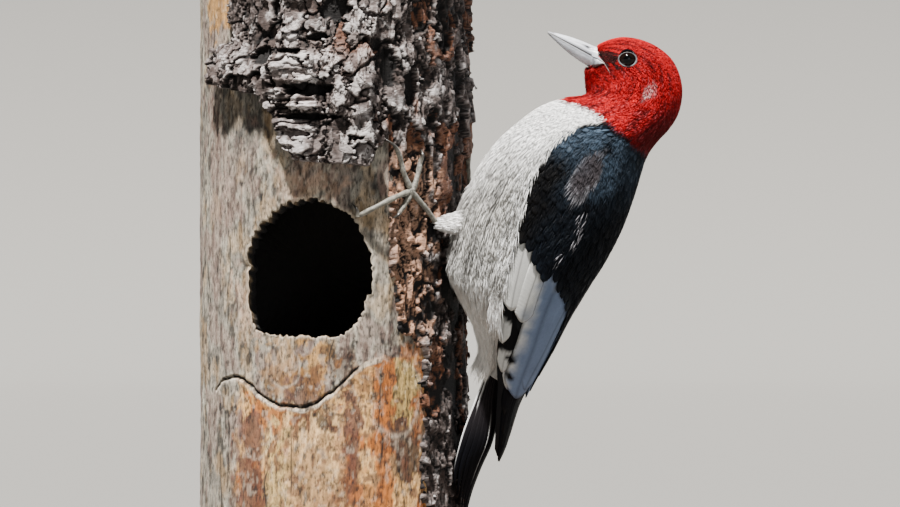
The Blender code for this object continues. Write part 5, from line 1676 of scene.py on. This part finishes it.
def buildTrunk():
    buildWood()
    barkPiece("bark_front", (-62, 27), (190, trunk["top"]), 256, 240)
    barkPiece("bark_right", (24, 112), (trunk["foot"], trunk["top"]), 170, 400)
    barkPiece("bark_back", (110, 252), (trunk["foot"], trunk["top"]), 106, 160)
    buildCutEnds()
    buildFlakes()
    print("trunk built")


# Brushed steel: bright metal with fine rings left by the brush, which only change how rough it is
def steelFinish():
    finish, tree, main = newFinish("brushed stainless steel rod",
                                   **{"Metallic": 1.0, "Roughness": 0.32, "Base Color": rgba("#C4C6C8")})
    lines = addNode(tree, "ShaderNodeTexNoise", inputs={"Vector": objectPlace(tree, Scale=(300, 300, 9000)),
                                                        "Scale": 1.0, "Detail": 3.0})
    rough = addNode(tree, "ShaderNodeMapRange",
                    inputs={"Value": lines.outputs["Fac"], "To Min": 0.22, "To Max": 0.42})
    tree.links.new(rough.outputs[0], main.inputs["Roughness"])
    return finish


def buildStandLooks():
    # Oiled oak: open grain drawn out lengthwise under a thin coat of oil
    oak = grainFinish("oiled oak, sanded",
                      {"Roughness": 0.45, "IOR": 1.5, "Coat Weight": 0.15, "Coat Roughness": 0.35}, "Noise",
                      {"Scale": 1.0, "Detail": 8.0, "Roughness": 0.6, "Distortion": 0.4},
                      [(0.25, "#382214"), (0.5, "#5E3D22"), (0.8, "#7A5432")], (0.2, 0.0002),
                      {"Scale": (14, 260, 260)}, toned=False)
    steel = steelFinish()
    for name, finish in (("stand_base", oak), ("stand_rod_1", steel), ("stand_rod_2", steel)):
        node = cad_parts[name]
        node.data.materials.clear()
        node.data.materials.append(finish)
    print("stand finished")


buildSkin()
buildHood()
buildUnderparts()
buildFlankPlumes()
buildThighCoats()
buildWing("left")
buildWing("right")
buildWingFringe()
buildBackStrip()
buildTail()
buildHead()
buildLegs()
buildTrunk()
buildStandLooks()
print("model built")


# studio: one sheet of paper, flat below and curved up behind, a low sun, two soft lamps
studio = {
    "bend": 0.9, "back": 6.0, "halfWidth": 7.0, "front": -7.0, "top": 4.5, "middle": (0.03, -0.02, 0.17),
    # kind, place, size (metres, or radians for the sun), power, colour
    "lamps": {"key": ("SUN", (-0.30, -0.75, 2.0), 0.08, 21.0, (1.0, 0.97, 0.93)),
              "fill": ("AREA", (1.2, -1.8, 0.5), 1.4, 14, (0.90, 0.95, 1.0)),
              "rim": ("AREA", (0.9, 0.5, 0.7), 0.9, 6, (0.95, 0.98, 1.0))},
    "air": ((0.95, 0.97, 1.0, 1), 0.09),
    "lens": 300.0, "sensor": 36.0, "seen": 0.378, "cameraX": 0.0046, "cameraZ": 0.1603, "subjectY": -0.04,
}


def linked(name, data):
    thing = bpy.data.objects.new(name, data)
    bpy.context.scene.collection.objects.link(thing)
    return thing


def buildStage():
    finish, _, _ = newFinish("pale matt studio paper", **{"Base Color": rgba("#6A6966"), "Roughness": 0.95})
    bend, back, wide = studio["bend"], studio["back"], studio["halfWidth"]
    turn = np.linspace(0, np.pi / 2, 64)
    y = np.concatenate([[studio["front"]], back + bend * np.sin(turn), [back + bend]])
    z = np.concatenate([[0.0], bend * (1 - np.cos(turn)), [studio["top"]]])
    verts = np.stack([abreast(side, y, z) for side in (wide, -wide)], axis=1)
    mesh = bpy.data.meshes.new("studio_floor")
    mesh.from_pydata(verts.reshape(-1, 3).tolist(), [], gridFaces(len(y), 2)[:, ::-1].tolist())
    mesh.shade_smooth()
    mesh.materials.append(finish)
    floor = linked("studio_floor", mesh)


def addLamp(name, kind, place, size, power, colour):  # turned so that it shines at the studio's middle
    data = bpy.data.lights.new(name, kind)
    data.energy, data.color = power, colour
    if kind == "SUN":
        data.angle = size
    else:
        data.shape, data.size = "DISK", size
    lamp = linked(name, data)
    lamp.location = place
    x, y, z = np.array(studio["middle"]) - np.array(place)
    lamp.rotation_euler = (math.atan2(math.hypot(x, y), -z), 0, math.atan2(y, x) - math.pi / 2)


def buildLightAndCamera():
    for name, lamp in studio["lamps"].items():
        addLamp(name, *lamp)
    world = bpy.data.worlds.new("studio air")
    world.use_nodes = True
    air = world.node_tree.nodes["Background"].inputs
    air["Color"].default_value, air["Strength"].default_value = studio["air"]
    bpy.context.scene.world = world
    data = bpy.data.cameras.new("camera")
    data.lens, data.sensor_width, data.clip_end = studio["lens"], studio["sensor"], 50
    camera = linked("camera", data)
    distance = studio["seen"] * studio["lens"] / studio["sensor"]
    camera.location = (studio["cameraX"], studio["subjectY"] - distance, studio["cameraZ"])
    camera.rotation_euler = (math.pi / 2, 0, 0)
    bpy.context.scene.camera = camera


buildStage()
buildLightAndCamera()
print("built")
